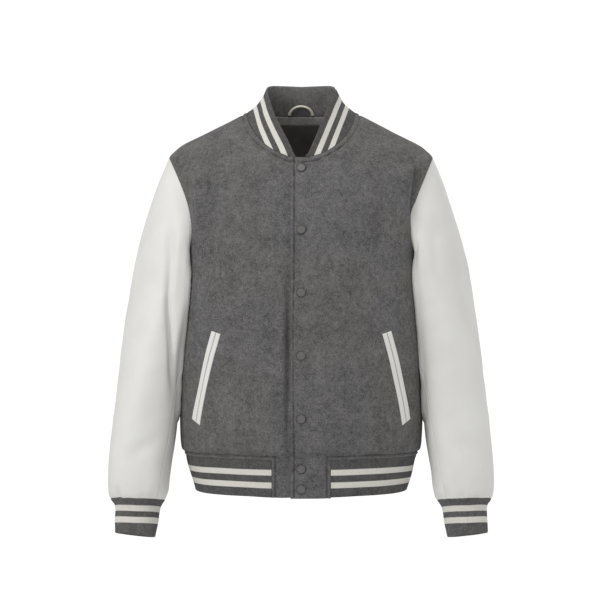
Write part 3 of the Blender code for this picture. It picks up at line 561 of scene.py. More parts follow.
def bumpOf(tree, height, strength, distance):
    inputs = {"Height": height, "Strength": strength, "Distance": distance}
    return addNode(tree, "ShaderNodeBump", inputs).outputs["Normal"]


def newGroup(name, inputs, outputs):
    group = bpy.data.node_groups.new(name, "ShaderNodeTree")
    for label, value in inputs.items():
        kind = "Vector" if value is None else "Float" if isinstance(value, float) else "Color"
        kind = f"NodeSocket{kind}"
        socket = group.interface.new_socket(name=label, in_out="INPUT", socket_type=kind)
        if value is not None:
            socket.default_value = value
    for label, kind in outputs.items():
        kind = f"NodeSocket{kind}"
        group.interface.new_socket(name=label, in_out="OUTPUT", socket_type=kind)
    return group, addNode(group, "NodeGroupInput").outputs, addNode(group, "NodeGroupOutput")


def placeGroup(tree, group, inputs):
    return addNode(tree, "ShaderNodeGroup", inputs, node_tree=group).outputs


heatheredFibres = {
    "layers": {  # scale beside the flecks', roughness, share in the mix
        "fleck": (1.0, 0.6, 0.42),
        "fine": (2.6, 0.7, 0.20),
        "clump": (0.3, 0.5, 0.22),
    },
    "cloudShare": 0.16,
    "spread": (0.36, 0.64),
    "tintScale": 5.5,
    "tintSpread": (0.4, 0.6),
}


def makeHeatherGroup():
    # dyed fibres of several greys, felted together
    facts = heatheredFibres
    greys = {"Dark": (0.05, 0.05, 0.05, 1), "Light": (0.2, 0.2, 0.2, 1)}
    tints = {"Warm": (1.05, 1.0, 0.93, 1), "Cool": (1.0, 0.97, 1.04, 1)}
    group, given, result = newGroup(
        "heatheredFibres",
        {"Vector": None, **greys, **tints, "Fleck Scale": 430.0, "Cloud Scale": 26.0},
        {"Color": "Color", "Fuzz": "Float"},
    )
    place = given["Vector"]
    mixed = maths(group, "MULTIPLY", noise(group, place, given["Cloud Scale"]), facts["cloudShare"])
    fibres = {}
    for name, (finer, roughness, share) in facts["layers"].items():
        scale = maths(group, "MULTIPLY", given["Fleck Scale"], finer)
        fibres[name] = noise(group, place, scale, roughness=roughness)
        mixed = maths(group, "ADD", mixed, maths(group, "MULTIPLY", fibres[name], share))
    spread = stretched(group, mixed, *facts["spread"], smoothly=False)
    plain = mixColours(group, spread, given["Dark"], given["Light"])
    tint = stretched(group, noise(group, place, facts["tintScale"], detail=1.0), *facts["tintSpread"])
    tone = mixColours(group, tint, given["Cool"], given["Warm"])
    feed(result, {
        "Color": mixColours(group, 1.0, plain, tone, "MULTIPLY"),
        "Fuzz": maths(group, "ADD", fibres["fine"], fibres["fleck"]),
    })
    return group


def makeStripeGroup():
    # two knitted stripes, by the distance from the trim's edge
    group, given, result = newGroup(
        "knittedStripes",
        {
            "Distance": 0.0,
            "First": 0.018,
            "First Width": 0.0105,
            "Second": 0.0395,
            "Second Width": 0.0105,
            "Softness": 0.0005,
        },
        {"Mask": "Float"},
    )
    masks = []
    below = maths(group, "MULTIPLY", given["Softness"], -1.0)
    for label in ("First", "Second"):
        half = maths(group, "MULTIPLY", given[f"{label} Width"], 0.5)
        middle = maths(group, "ADD", given[label], half)
        off = maths(group, "ABSOLUTE", maths(group, "SUBTRACT", given["Distance"], middle))
        inside = maths(group, "SUBTRACT", half, off)
        masks.append(stretched(group, inside, below, given["Softness"], smoothly=False))
    feed(result, {"Mask": maths(group, "MAXIMUM", *masks)})
    return group


pebbledGrain = {"warpScale": 90.0, "warpRise": 1.5, "crease": (0.0, 0.28), "patchScale": 14.0}


def makeGrainGroup():
    # fine leather grain: small pebbles with soft creases between
    facts = pebbledGrain
    group, given, result = newGroup(
        "leatherGrain", {"Vector": None, "Pebble Scale": 620.0}, {"Height": "Float", "Shade": "Float"}
    )
    place = given["Vector"]
    inputs = {"Vector": place, "Scale": given["Pebble Scale"], "Randomness": 1.0}
    pebbles = addNode(group, "ShaderNodeTexVoronoi", inputs, feature="DISTANCE_TO_EDGE")
    soft = stretched(group, pebbles.outputs["Distance"], *facts["crease"])
    warp = maths(group, "MULTIPLY", noise(group, place, facts["warpScale"]), facts["warpRise"])
    feed(result, {
        "Height": maths(group, "ADD", soft, warp),
        "Shade": noise(group, place, facts["patchScale"], detail=3.0),
    })
    return group


heatherGroup = makeHeatherGroup()
stripeGroup = makeStripeGroup()
grainGroup = makeGrainGroup()


def newMaterial(name):
    material = bpy.data.materials.new(name)
    material.use_nodes = True
    tree = material.node_tree
    place = addNode(tree, "ShaderNodeTexCoord").outputs["Object"]
    return material, tree, tree.nodes["Principled BSDF"], place


woolTints = {"Warm": (1.02, 1.0, 0.965, 1), "Cool": (1.0, 0.985, 1.01, 1)}
woolFinish = {"Specular IOR Level": 0.25, "Sheen Weight": 0.05, "Sheen Roughness": 0.55}
meltonWool = {
    "fibres": {
        "Dark": (0.041, 0.0405, 0.0405, 1),
        "Light": (0.170, 0.167, 0.166, 1),
        **woolTints,
        "Fleck Scale": 430.0,
        "Cloud Scale": 30.0,
    },
    "shadeAndThreadColour": (0.030, 0.0295, 0.029, 1),  # the stitches' own dark colour, also laid on as painted shade in seams, stitched grooves and round the snaps
    # how far the stitches and the painted shade darken the wool
    "shadeAndThreadShare": 0.55,
    "relief": (0.55, 0.0006),  # the bump's strength and distance
    "finish": {"Roughness": 0.92, **woolFinish},
}


def paintedLighter(facts, dark, light):
    # the same cloth in lighter greys: painted light, standing in for light that the lamps do not bring
    # there
    return {**facts, "fibres": {**facts["fibres"], "Dark": dark, "Light": light}}


def makeWool(name, facts):
    material, tree, shader, place = newMaterial(name)
    fibres = placeGroup(tree, heatherGroup, {"Vector": place, **facts["fibres"]})
    # the wool is darkened where stitches lie and where painted shade stands in seams, grooves and round
    # the snaps
    shadeAndThread = addNode(tree, "ShaderNodeAttribute", attribute_name="shadeAndThread").outputs["Fac"]
    stitched = maths(tree, "MULTIPLY", shadeAndThread, facts["shadeAndThreadShare"])
    feed(shader, {
        "Base Color": mixColours(tree, stitched, fibres["Color"], facts["shadeAndThreadColour"]),
        "Normal": bumpOf(tree, fibres["Fuzz"], *facts["relief"]),
        **facts["finish"],
    })
    return material


ribKnit = {
    "fibres": {
        "Dark": (0.036, 0.0355, 0.0355, 1),
        "Light": (0.118, 0.116, 0.115, 1),
        **woolTints,
        "Fleck Scale": 520.0,
        "Cloud Scale": 40.0,
    },
    "stripe": (0.65, 0.63, 0.585, 1),
    "stripeShade": (0.58, 0.56, 0.52, 1),
    "stripeSpread": (0.8, 1.2),
    "stitchPitch": 0.0012,
    "stitchRise": 0.18,
    "relief": (0.45, 0.0005),
    "finish": {"Roughness": 0.9, **woolFinish},
}
hemStripes = {"First": 0.0158, "First Width": 0.0100, "Second": 0.0376, "Second Width": 0.0098}
cuffStripes = {"First": 0.0142, "First Width": 0.0100, "Second": 0.0340, "Second Width": 0.0102}
collarStripes = {"First": 0.0112, "First Width": 0.0094, "Second": 0.0302, "Second Width": 0.0086}


def makeRib(name, facts, stripes=None):
    # heathered knit, and off-white where the stripes lie across it
    material, tree, shader, place = newMaterial(name)
    fibres = placeGroup(tree, heatherGroup, {"Vector": place, **facts["fibres"]})
    lay = addNode(tree, "ShaderNodeUVMap", uv_map="lay").outputs["UV"]
    up = addNode(tree, "ShaderNodeSeparateXYZ", {"Vector": lay}).outputs["Y"]
    colour = fibres["Color"]
    if stripes:
        mask = placeGroup(tree, stripeGroup, {"Distance": up, **stripes})["Mask"]
        shade = stretched(tree, fibres["Fuzz"], *facts["stripeSpread"])
        pale = mixColours(tree, shade, facts["stripeShade"], facts["stripe"])
        colour = mixColours(tree, mask, colour, pale)
    rows = maths(tree, "SINE", maths(tree, "MULTIPLY", up, 2 * math.pi / facts["stitchPitch"]))
    height = maths(tree, "ADD", fibres["Fuzz"], maths(tree, "MULTIPLY", rows, facts["stitchRise"]))
    feed(shader, {
        "Base Color": colour,
        "Normal": bumpOf(tree, height, *facts["relief"]),
        **facts["finish"],
    })
    return material


sleeveLeather = {
    "pale": (0.665, 0.661, 0.634, 1),
    "shaded": (0.640, 0.634, 0.606, 1),
    "patches": (0.35, 0.65),
    "pebbleScale": 640.0,
    "roughness": (0.46, 0.56),
    "specular": 0.4,
    "relief": (0.10, 0.0004),
}


def makeLeather(name, facts):
    material, tree, shader, place = newMaterial(name)
    grain = placeGroup(tree, grainGroup, {"Vector": place, "Pebble Scale": facts["pebbleScale"]})
    shade = stretched(tree, grain["Shade"], *facts["patches"])
    feed(shader, {
        "Base Color": mixColours(tree, shade, facts["shaded"], facts["pale"]),
        "Roughness": stretched(tree, grain["Shade"], *facts["patches"], facts["roughness"]),
        "Specular IOR Level": facts["specular"],
        "Normal": bumpOf(tree, grain["Height"], *facts["relief"]),
    })
    return material


twillSatin = {
    "cloudScale": 60.0,
    "twill": (520.0, 1.0),  # scale and distortion
    "relief": (0.15, 0.0002),
    "finish": {"Roughness": 0.5, "Sheen Weight": 0.05},
}


def makeSatin(name, dark, light):
    # lining with a fine twill line
    facts = twillSatin
    material, tree, shader, place = newMaterial(name)
    cloud = noise(tree, place, facts["cloudScale"], detail=3.0)
    feed(shader, {
        "Base Color": mixColours(tree, cloud, dark, light),
        "Normal": bumpOf(tree, weave(tree, place, *facts["twill"]), *facts["relief"]),
        **facts["finish"],
    })
    return material


capEnamel = {
    "dark": (0.090, 0.088, 0.086, 1),
    "light": (0.118, 0.116, 0.113, 1),
    "cloudScale": 380.0,
    "worn": (0.3, 0.7),
    "roughness": (0.42, 0.55),
    "fineScale": 2600.0,
    "relief": (0.15, 0.0001),
}


def makeCap(name, facts):
    # satin grey enamel, slightly worn
    material, tree, shader, place = newMaterial(name)
    cloud = noise(tree, place, facts["cloudScale"], detail=3.0)
    fine = noise(tree, place, facts["fineScale"])
    feed(shader, {
        "Base Color": mixColours(tree, cloud, facts["dark"], facts["light"]),
        "Roughness": stretched(tree, cloud, *facts["worn"], facts["roughness"]),
        "Normal": bumpOf(tree, fine, *facts["relief"]),
    })
    return material


cordWeave = {
    "dark": (0.60, 0.55, 0.46, 1),
    "light": (0.80, 0.76, 0.67, 1),
    "weave": (700.0, 2.0),  # scale and distortion
    "roughness": 0.8,
    "relief": (0.3, 0.0003),
}


def makeCordCover(name, facts):
    # off-white covered cord, with the cover's weave round it
    material, tree, shader, place = newMaterial(name)
    threads = weave(tree, place, *facts["weave"])
    feed(shader, {
        "Base Color": mixColours(tree, threads, facts["dark"], facts["light"]),
        "Roughness": facts["roughness"],
        "Normal": bumpOf(tree, threads, *facts["relief"]),
    })
    return material


# painted light: the cuffs' knit, the same as the hem's and collar's, painted lighter
litCuffKnit = paintedLighter(ribKnit, (0.044, 0.0435, 0.0435, 1), (0.144, 0.142, 0.140, 1))
# painted light: the knit's inner faces, painted lighter to stand in for light inside the collar
litInsideKnit = paintedLighter(ribKnit, (0.085, 0.084, 0.081, 1), (0.205, 0.201, 0.194, 1))
# painted light: the neck facing, the body's melton painted lighter to stand in for light inside the
# neck
litFacingMelton = paintedLighter(meltonWool, (0.190, 0.185, 0.176, 1), (0.47, 0.455, 0.44, 1))
wool = makeWool("melton wool", meltonWool)
# the facing's wool, painted lighter
litFacingWool = makeWool("facing wool painted lighter", litFacingMelton)
hemRib = makeRib("hem rib knit", ribKnit, hemStripes)
# the cuffs take the knit painted lighter
litCuffRib = makeRib("cuff rib knit painted lighter", litCuffKnit, cuffStripes)
collarRib = makeRib("collar rib knit", ribKnit, collarStripes)
# the trims' inner faces take the knit painted lighter
litRibInside = makeRib("rib knit", litInsideKnit)
leather = makeLeather("sleeve leather", sleeveLeather)
satin = makeSatin("lining satin", (0.006, 0.006, 0.006, 1), (0.016, 0.0155, 0.0155, 1))
# painted light: the neck lining, the same satin as inside the body, painted lighter to stand in for
# light inside the neck
litNeckSatin = makeSatin("neck lining satin painted lighter", (0.056, 0.053, 0.050, 1), (0.082, 0.078, 0.073, 1))
capFinish = makeCap("snap enamel", capEnamel)
cordCover = makeCordCover("loop cord cover", cordWeave)
print("materials made")


# The body panels.
bodyWay = runAlong(smoothBody(math.pi / 4, fineLevels), 0)  # how far up the cloth each level lies
frontCloth = {
    "thick": 0.0022,
    "cell": 0.0034,
    "fine": 0.0006,
    "stitchedCell": 1.5,  # beside fine
    "armholeCell": 0.004,
    "columns": (0.0004, 0.001, 0.001, 0.0006),  # cells at the placket's edge, two stitchings, the rib
    "toSide": 0.235,  # over the cloth from the rib's end to the side
    "placketStitch": 0.0062,  # from the placket's edge
    "neckStitch": 0.0096,  # below the neck seam
    "hemStitch": 0.0064,  # above the hem seam
    "tabStitch": 0.0060,  # from the rib's end
    "besideTab": 0.02,  # the gathers start this gently beside the tab
    "edges": {  # how far in an edge starts to turn, and by which share of the wall
        "placket": (0.0016, 0.9),
        "neck": (0.0012, 0.4),
        "side": (0.0011, 0.45),
        "rib": (0.0013, 0.5),
        "bottom": (0.0016, 0.9),
    },
    "flat": (0.345, 0.640),
    "area": 0.165,
}
backCloth = {  # as the fronts, but for these
    **frontCloth,
    "cell": 0.0036,
    "width": 0.58,
    "columnPower": 0.8,
    "gathersFrom": 0.5,  # where its gathers start in their pattern, so as to differ from the fronts'
    "flat": (0.600, 0.610),
    "area": 0.315,
}
stitchedSeam = {
    "groove": 0.0017,
    "grooveWidth": 0.0012,
    "ridge": 0.0009,
    "ridgePlace": 0.5,  # beside the stitches' distance from the seam, and so is its width
    "ridgeWidth": 0.36,
    "pull": (0.35, 0.007),  # how unevenly the stitches pull, and over which length
    "shade": (0.6, 0.0011),  # painted shade along a seam's line: how dark and how wide
}
hemGather = {
    "rise": 0.0007,
    "sizes": ((1.0, 0.012, 41), (0.5, 0.006, 42)),  # share, size and seed of the puckers
    "reach": 0.014,
    "clear": 0.004,
}


def wayTo(row):
    return float(np.interp(row, fineLevels, bodyWay))


def bodyRows(low, facts):
    # levels of a panel's rows, close together at its seams and stitched lines
    seam, neck = wayTo(level["hemSeam"]), wayTo(level["neck"])
    fine, stitched = facts["fine"], facts["fine"] * facts["stitchedCell"]
    stops = [(seam, fine), (seam + facts["hemStitch"], stitched)]
    if low < level["hemSeam"]:
        stops.insert(0, (wayTo(low), fine))
    stops += [(wayTo(level[name]), facts["armholeCell"]) for name in ("armpit", "tip")]
    stops += [(neck - facts["neckStitch"], stitched), (neck, fine)]
    return np.interp(gradedStops(stops, facts["cell"]), bodyWay, fineLevels)


def sideLine(levels, wayRound):
    # angles and levels of a panel's side: side seam, one half of the armhole, shoulder seam
    share = (levels - level["armpit"]) / (level["tip"] - level["armpit"])
    place = math.pi / 2 + wayRound * math.pi * np.clip(share, 0, 1)
    angles, rows = armhole(place)
    beside = (share > 0) & (share < 1)
    return np.where(beside, angles, math.pi / 2), np.where(beside, rows, levels), place, beside


def armholeLean(place, side):
    # halfway between the body's and the sleeve's outward directions round an armhole
    angle, row = armhole(place)
    bodyOut = facingOut(smoothBody, angle, row)
    sleeveOut = facingOut(smoothSleeve, place, np.full_like(place, armholeCut["step"]))
    return unit(bodyOut + sleeveOut) * np.array([side, 1, 1])


def leanTowards(normals, edgeLean, away, reach=0.004):
    share = np.exp(-away / reach)[..., None]
    return unit(normals * (1 - share) + edgeLean * share)


def leanAtSide(normals, place, beside, side):
    return np.where(beside[:, None, None], armholeLean(place, side)[:, None, :], normals)


def hemGathers(girth, above):
    # small uneven puckers where the cloth is drawn into the hem rib
    facts = hemGather
    lumps = sum(share * uneven(girth, girth * 0, size, seed) for share, size, seed in facts["sizes"])
    fading = np.exp(-np.clip(above, 0, None) / facts["reach"])
    return facts["rise"] * lumps * fading * smooth(above / facts["clear"])


def stitchedEdge(away, stitch, length, seed):
    # a seam's turned edge: a soft ridge beside the seam, then the groove that the stitches pull in. The
    # groove's mask also darkens the wool: partly the stitches' own colour, partly painted shade in the
    # groove
    facts = stitchedSeam
    uneasy, size = facts["pull"]
    ridge = facts["ridge"] * pressedAt(away, stitch * facts["ridgePlace"], stitch * facts["ridgeWidth"])
    puckers = 1 + uneasy * uneven(length, length * 0, size, seed)
    groove = pressedAt(away, stitch, facts["grooveWidth"]) * puckers
    return ridge - facts["groove"] * groove, groove


# painted shade along a seam, darkest on the seam itself
def seamShade(away):
    dark, width = stitchedSeam["shade"]
    return dark * pressedAt(away, 0, width)


def lapDepth(x):
    # how far in the right front lies under the left one
    past = np.abs(x) - closure["half"] - closure["past"]
    return (frontCloth["thick"] + closure["gap"]) * (1 - smooth(past / closure["ramp"]))


snapPress = {
    "heights": [-0.1004 - 0.1063 * i for i in range(5)] + [-0.6108, -0.6449],
    "depth": 0.0007,
    "reach": 0.0095,
    # how dark the painted shade round each snap's rim is
    "shade": 1.3,
    "rim": (0.0073, 0.0011),  # the painted shade's radius and width
}


def snapSeat(z):
    # where a snap sits on the left front, and the direction that it faces
    angle, row = frontPlace(np.array(0.0), np.array(z))
    return foldedBody(angle, row)


def snapDimples(points):
    # how deep the snaps press the wool in, and the painted shade round their rims
    facts = snapPress
    depth, shade = 0, 0
    for z in facts["heights"]:
        away = np.linalg.norm(points - snapSeat(z)[0], axis=-1)
        depth = depth + facts["depth"] * np.exp(-((away / facts["reach"]) ** 4))
        shade = shade + facts["shade"] * pressedAt(away, *facts["rim"])
    return depth, shade


def makeFront(side, name, seed):
    facts = frontCloth
    half, tab = closure["half"], closure["tab"]
    low = -closure["drop"] if side == 1 else 0.0
    rows = bodyRows(0, facts)
    rows = np.where(rows < level["hemSeam"], low + rows * (1 - low), rows)
    sideAngles, sideLevels, place, beside = sideLine(rows, -1)
    stops = (-half, -half + facts["placketStitch"], tab - facts["tabStitch"], tab)
    xNear = gradedStops(list(zip(stops, facts["columns"])), facts["cell"])
    shares = gradedShares(facts["toSide"], facts["fine"], facts["fine"], facts["cell"])[1:]
    near = angleAt(xNear[None, :], rows[:, None])
    far = near[:, -1:] + (sideAngles[:, None] - near[:, -1:]) * shares
    farLevels = rows[:, None] + (sideLevels - rows)[:, None] * shares
    angles = side * np.concatenate((near, far), axis=1)
    levels = np.concatenate((np.repeat(rows[:, None], len(xNear), axis=1), farLevels), axis=1)
    points, normals = foldedBody(angles, levels)
    # the cloth stops at the hem seam, but for the tab between the rib's ends
    seamRow = int(np.argmin(np.abs(rows - level["hemSeam"])))
    tabColumn = len(xNear) - 1
    keep = np.ones((len(rows) - 1, angles.shape[1] - 1), bool)
    keep[:seamRow, tabColumn:] = False
    fromPlacket, fromSide, fromHem, fromNeck = fromEdges(points)
    aboveSeam = fromHem - fromHem[seamRow]
    besideTab = fromPlacket[:, tabColumn][:, None] - fromPlacket
    under = np.arange(len(rows))[:, None] < seamRow
    overRib = np.where(besideTab > 0, np.maximum(aboveSeam, besideTab), aboveSeam)
    fromRib = np.maximum(np.where(under, besideTab, overRib), 0)
    height, girth = points[..., 2], fromPlacket * side
    relief = hemGathers(girth, aboveSeam) * ~under * smooth(-besideTab / facts["besideTab"])
    # painted shade along the rib and neck seams
    shadeAndThread = seamShade(np.minimum(fromRib, fromNeck))
    stitched = [(fromNeck, "neckStitch", girth), (fromRib, "hemStitch", girth + height)]
    if side == 1:
        stitched.append((fromPlacket, "placketStitch", height))
        # the snaps' dimples, and the painted shade round their rims
        dimples, shade = snapDimples(points)
        relief = relief - dimples
        shadeAndThread = shadeAndThread + shade
    for away, stitch, length in stitched:
        pressed, groove = stitchedEdge(away, facts[stitch], length, seed)
        relief = relief + pressed
        shadeAndThread = np.maximum(shadeAndThread, groove)
    away = {
        "placket": fromPlacket, "neck": fromNeck, "side": fromSide, "rib": fromRib,
        "bottom": np.where(under, fromHem, 1.0),
    }
    if side == -1:
        points = points - normals * lapDepth(np.minimum(points[..., 0], 0))[..., None]
    lean = leanTowards(normals, leanAtSide(normals, place, beside, side), fromSide)
    outer, inner = wallOf(points, normals, facts["thick"], facts["edges"], away, relief, lean)
    if side == -1:  # its columns run the other way
        outer, inner, keep, shadeAndThread = (grid[:, ::-1] for grid in (outer, inner, keep, shadeAndThread))
    mesh = gridMesh(f"front_{name}_cloth", outer, inner, keep, shadeAndThread=shadeAndThread)
    return addPiece(mesh, [wool, satin], f"front_{name}")


def makeBack(seed):
    facts = backCloth
    rows = bodyRows(level["hemSeam"], facts)
    sideAngles, sideLevels, place, beside = sideLine(rows, 1)
    share = gradedShares(facts["width"], facts["fine"], facts["fine"], facts["cell"])[None, :]
    middle = np.sin(math.pi * share) ** facts["columnPower"]
    angles = sideAngles[:, None] + 2 * (math.pi - sideAngles[:, None]) * share
    levels = sideLevels[:, None] + (rows - sideLevels)[:, None] * middle
    points, normals = foldedBody(angles, levels)
    fromLeft, fromRight, fromHem, fromNeck = fromEdges(points)
    atNeck, neckGroove = stitchedEdge(fromNeck, facts["neckStitch"], fromLeft, seed)
    atHem, hemGroove = stitchedEdge(fromHem, facts["hemStitch"], fromLeft, seed + 1)
    relief = hemGathers(fromLeft + facts["gathersFrom"], fromHem) + atNeck + atHem
    # painted shade along the hem and neck seams, and the stitches' colour and painted shade in the
    # grooves
    shadeAndThread = np.maximum(seamShade(np.minimum(fromHem, fromNeck)), np.maximum(neckGroove, hemGroove))
    lean = normals
    for side, away in ((1, fromLeft), (-1, fromRight)):
        lean = leanTowards(lean, leanAtSide(normals, place, beside, side), away)
    away = {"side": np.minimum(fromLeft, fromRight), "rib": fromHem, "neck": fromNeck}
    outer, inner = wallOf(points, normals, facts["thick"], facts["edges"], away, relief, lean)
    mesh = gridMesh("back_cloth", outer, inner, shadeAndThread=shadeAndThread)
    return addPiece(mesh, [wool, satin], "back")


leftFront, rightFront = makeFront(1, "left", 11), makeFront(-1, "right", 31)
backPiece = makeBack(73)
print("body panels made")


# Sleeves.
leatherCloth = {
    "thick": 0.0016,
    "cell": 0.0034,
    "fine": 0.0006,
    "head": 0.20,  # lengths over the leather, above and below the bicep
    "tube": 0.375,
    "width": {"top": 0.28, "under": 0.10},
    "round": 0.055,  # the radius that turns places into distances
    "lumps": ((0.00025, 1.0, 0.02), (0.0008, 0.6, 0.06)),  # height, how upright, size
    "calm": (0.02, 0.03, 0.03),  # they start this far from the seams, the armhole and the cuff
    "gather": (0.0009, 0.008, 0.016, 0.004),  # above the cuff: height, size, reach, clear of the seam
    "edges": {"seam": (0.0014, 0.90), "cuff": (0.0016, 0.85), "armhole": (0.0011, 0.45)},
    "flat": {"top": (0.300, 0.590), "under": (0.125, 0.420)},
    "area": {"top": 0.140, "under": 0.050},
}
cuffPuff = {"rise": 0.0012, "waves": (9, 4), "above": 0.35, "spread": 0.45}


def sleeveDepth(place, points, row, side):
    turn = np.mod(place + math.pi / 2, 2 * math.pi) - math.pi / 2
    radius = foldRound["sleeve"]
    depth = pressedIn(sleeveFolds[side], radius, radius * turn, points[..., 2])
    # gathers where the sleeve is drawn into the cuff, uneven round it
    many, few = cuffPuff["waves"]
    lumps = np.sin(many * place + side) * np.sin(few * place + 1)
    above = (row - arm["cuffSeam"] + cuffPuff["above"]) / cuffPuff["spread"]
    seam = np.exp(-(above**2)) * (row < arm["cuffSeam"])
    return depth * smooth(row * sleeveCut["foldsStart"]) + cuffPuff["rise"] * lumps * seam


def sleevePlaces(row):
    # places of the under sleeve's front and back seams
    share = smooth(row / sleeveCut["seamDrop"])
    seams = sleeveCut["underFront"], sleeveCut["underBack"]
    return [np.radians(high + (low - high) * share) for high, low in seams]


def sleeveGrid(place, row, side):
    points, normals = smoothSleeve(place, row), facingOut(smoothSleeve, place, row)
    moved = points - normals * sleeveDepth(place, points, row, side)[..., None]
    # its edge follows the body's folds at the armhole
    angle, height = armhole(place)
    pressed = bodyDepth(side * angle, height) * (1 - smooth(row * sleeveCut["bodyFoldsEnd"]))
    moved = moved - facingOut(smoothBody, angle, height) * pressed[..., None]
    return clearOfBody(moved, smooth(row * sleeveCut["clears"])), normals


def onSide(side, outer, inner, lay=None):
    # a left piece as it is, or mirrored to the right
    grids = [outer, inner, lay] if lay is not None else [outer, inner]
    if side == 1:
        return grids
    mirrored = [grid[:, ::-1] for grid in grids]
    return [grid * [-1, 1, 1] for grid in mirrored[:2]] + mirrored[2:]


def makeSleevePanel(side, name, kind, seed):
    facts = leatherCloth
    cell, fine, width = facts["cell"], facts["fine"], facts["width"][kind]
    head = gradedShares(facts["head"], fine, cell, cell)
    tube = gradedShares(facts["tube"], cell, fine, cell)
    rows = np.concatenate((head, 1 + tube[1:] * (arm["cuffSeam"] - 1)))[::-1][:, None]
    front, back = sleevePlaces(rows)
    share = gradedShares(width, fine, fine, cell)[None, :]
    start, end = (front, back) if kind == "under" else (back, front + 2 * math.pi)
    place = start + (end - start) * share
    row = np.broadcast_to(rows, place.shape)
    points, normals = sleeveGrid(place, row, side)
    fromLeft, fromRight, fromCuff, fromArmhole = fromEdges(points)
    fromSeam = np.minimum(fromLeft, fromRight)
    turn, way = place * facts["round"], points[..., 2]
    relief = 0
    for i, (rise, upright, size) in enumerate(facts["lumps"]):
        relief = relief + rise * uneven(turn, way * upright, size, seed + i)
    for away, calm in zip((fromSeam, fromArmhole, fromCuff), facts["calm"]):
        relief = relief * smooth(away / calm)
    rise, size, reach, clear = facts["gather"]
    gathers = uneven(turn, way * 0, size, seed + len(facts["lumps"]))
    relief = relief + rise * (gathers * np.exp(-fromCuff / reach) * smooth(fromCuff / clear))
    away = {"seam": fromSeam, "cuff": fromCuff, "armhole": fromArmhole}
    lean = leanTowards(normals, armholeLean(place[-1], 1)[None, :, :], fromArmhole)
    outer, inner = wallOf(points, normals, facts["thick"], facts["edges"], away, relief, lean)
    label = f"{kind}_sleeve_{name}"
    mesh = gridMesh(f"{label}_leather", *onSide(side, outer, inner))
    return addPiece(mesh, [leather, satin], label)


for side, name in sides.items():
    for kind in ("top", "under"):
        makeSleevePanel(side, name, kind, 101 + 10 * side + len(kind))
print("sleeves made")


# Rib trims. The knit's ribs are real ridges on the outside.
ribTrim = {"thick": 0.0030, "fine": 0.0005, "pitch": 0.0026, "rise": 0.00022, "calm": 0.003}


def ribRelief(girth, *edges):
    # the knit's ribs, which flatten out at its edges
    relief = ribTrim["rise"] * np.cos(2 * math.pi * girth / ribTrim["pitch"])
    for away in edges:
        relief = relief * smooth(away / ribTrim["calm"])
    return relief


cuffTrim = {
    "ribs": 92,
    "perRib": 5,  # columns
    "length": 0.062,
    "cell": 0.0036,
    "round": 0.036,
    "lumps": (0.0006, 0.02),  # height and size
    "edges": {"top": (0.0015, 0.8), "end": (0.0024, 0.95)},
    "flat": (0.225, 0.066),
}


def makeCuff(side, name, seed):
    facts = cuffTrim
    ribs, fine = facts["ribs"], ribTrim["fine"]
    around = np.linspace(0, 2 * math.pi, ribs * facts["perRib"], endpoint=False)[None, :]
    heights = gradedShares(facts["length"], fine, fine, facts["cell"])
    rows = (arm["cuffSeam"] + (arm["cuffEnd"] - arm["cuffSeam"]) * heights)[::-1][:, None]
    place, row = np.broadcast_arrays(around, rows)
    points, normals = sleeveGrid(place, row, side)
    _, _, fromEnd, fromTop = fromEdges(points)
    girth = place * ribs * ribTrim["pitch"] / (2 * math.pi)
    rise, size = facts["lumps"]
    relief = ribRelief(girth, fromTop, fromEnd)
    relief = relief + rise * uneven(place * facts["round"], points[..., 2], size, seed)
    away = {"top": fromTop, "end": fromEnd}
    outer, inner = wallOf(points, normals, ribTrim["thick"], facts["edges"], away, relief)
    outer, inner, lay = onSide(side, outer, inner, np.stack((girth, fromTop), axis=-1))
    mesh = gridMesh(f"cuff_{name}_knit", outer, inner, closed=True, lay=lay)
    return addPiece(mesh, [litCuffRib, litRibInside], f"cuff_{name}")


hemTrim = {
    "ribs": 380,
    "perRib": 4,
    "length": 0.063,
    "cell": 0.0040,
    "besideTab": 0.02,  # the share of its length where its columns turn to stand along a tab
    "lumps": (0.0007, 0.03, 201),  # height, size and seed
    "calm": 0.01,
    "edges": {"top": (0.0013, 0.5), "end": (0.0024, 0.95), "tab": (0.0012, 0.5)},
    "flat": (0.990, 0.064),
}


def makeHemRib():
    facts = hemTrim
    ribs, fine, seam = facts["ribs"], ribTrim["fine"], level["hemSeam"]
    rows = gradedShares(facts["length"], fine, fine, facts["cell"])[:, None] * seam
    share = gradedShares(1.0, fine, fine, 1.0 / (ribs * facts["perRib"]))[None, :]
    start = angleAt(closure["tab"], seam)
    slide = (angleAt(closure["tab"], rows) - start) * np.cos(math.pi * share)
    beside = np.exp(-np.minimum(share, 1 - share) / facts["besideTab"])
    angles = start + (2 * math.pi - 2 * start) * share + slide * beside
    row = np.broadcast_to(rows, angles.shape)
    points, normals = foldedBody(angles, row)
    fromLeft, fromRight, fromEnd, fromTop = fromEdges(points)
    girth = fromLeft[-1:] * ribs * ribTrim["pitch"] / fromLeft[-1, -1]
    rise, size, seed = facts["lumps"]
    lumps = rise * uneven(girth, points[..., 2], size, seed) * smooth(fromTop / facts["calm"])
    relief = ribRelief(girth, fromTop, fromEnd) + lumps
    away = {"top": fromTop, "end": fromEnd, "tab": np.minimum(fromLeft, fromRight)}
    outer, inner = wallOf(points, normals, ribTrim["thick"], facts["edges"], away, relief)
    lay = np.stack((np.broadcast_to(girth, fromEnd.shape), fromEnd), axis=-1)
    return addPiece(gridMesh("hem_knit", outer, inner, lay=lay), [hemRib, litRibInside], "hem_rib")


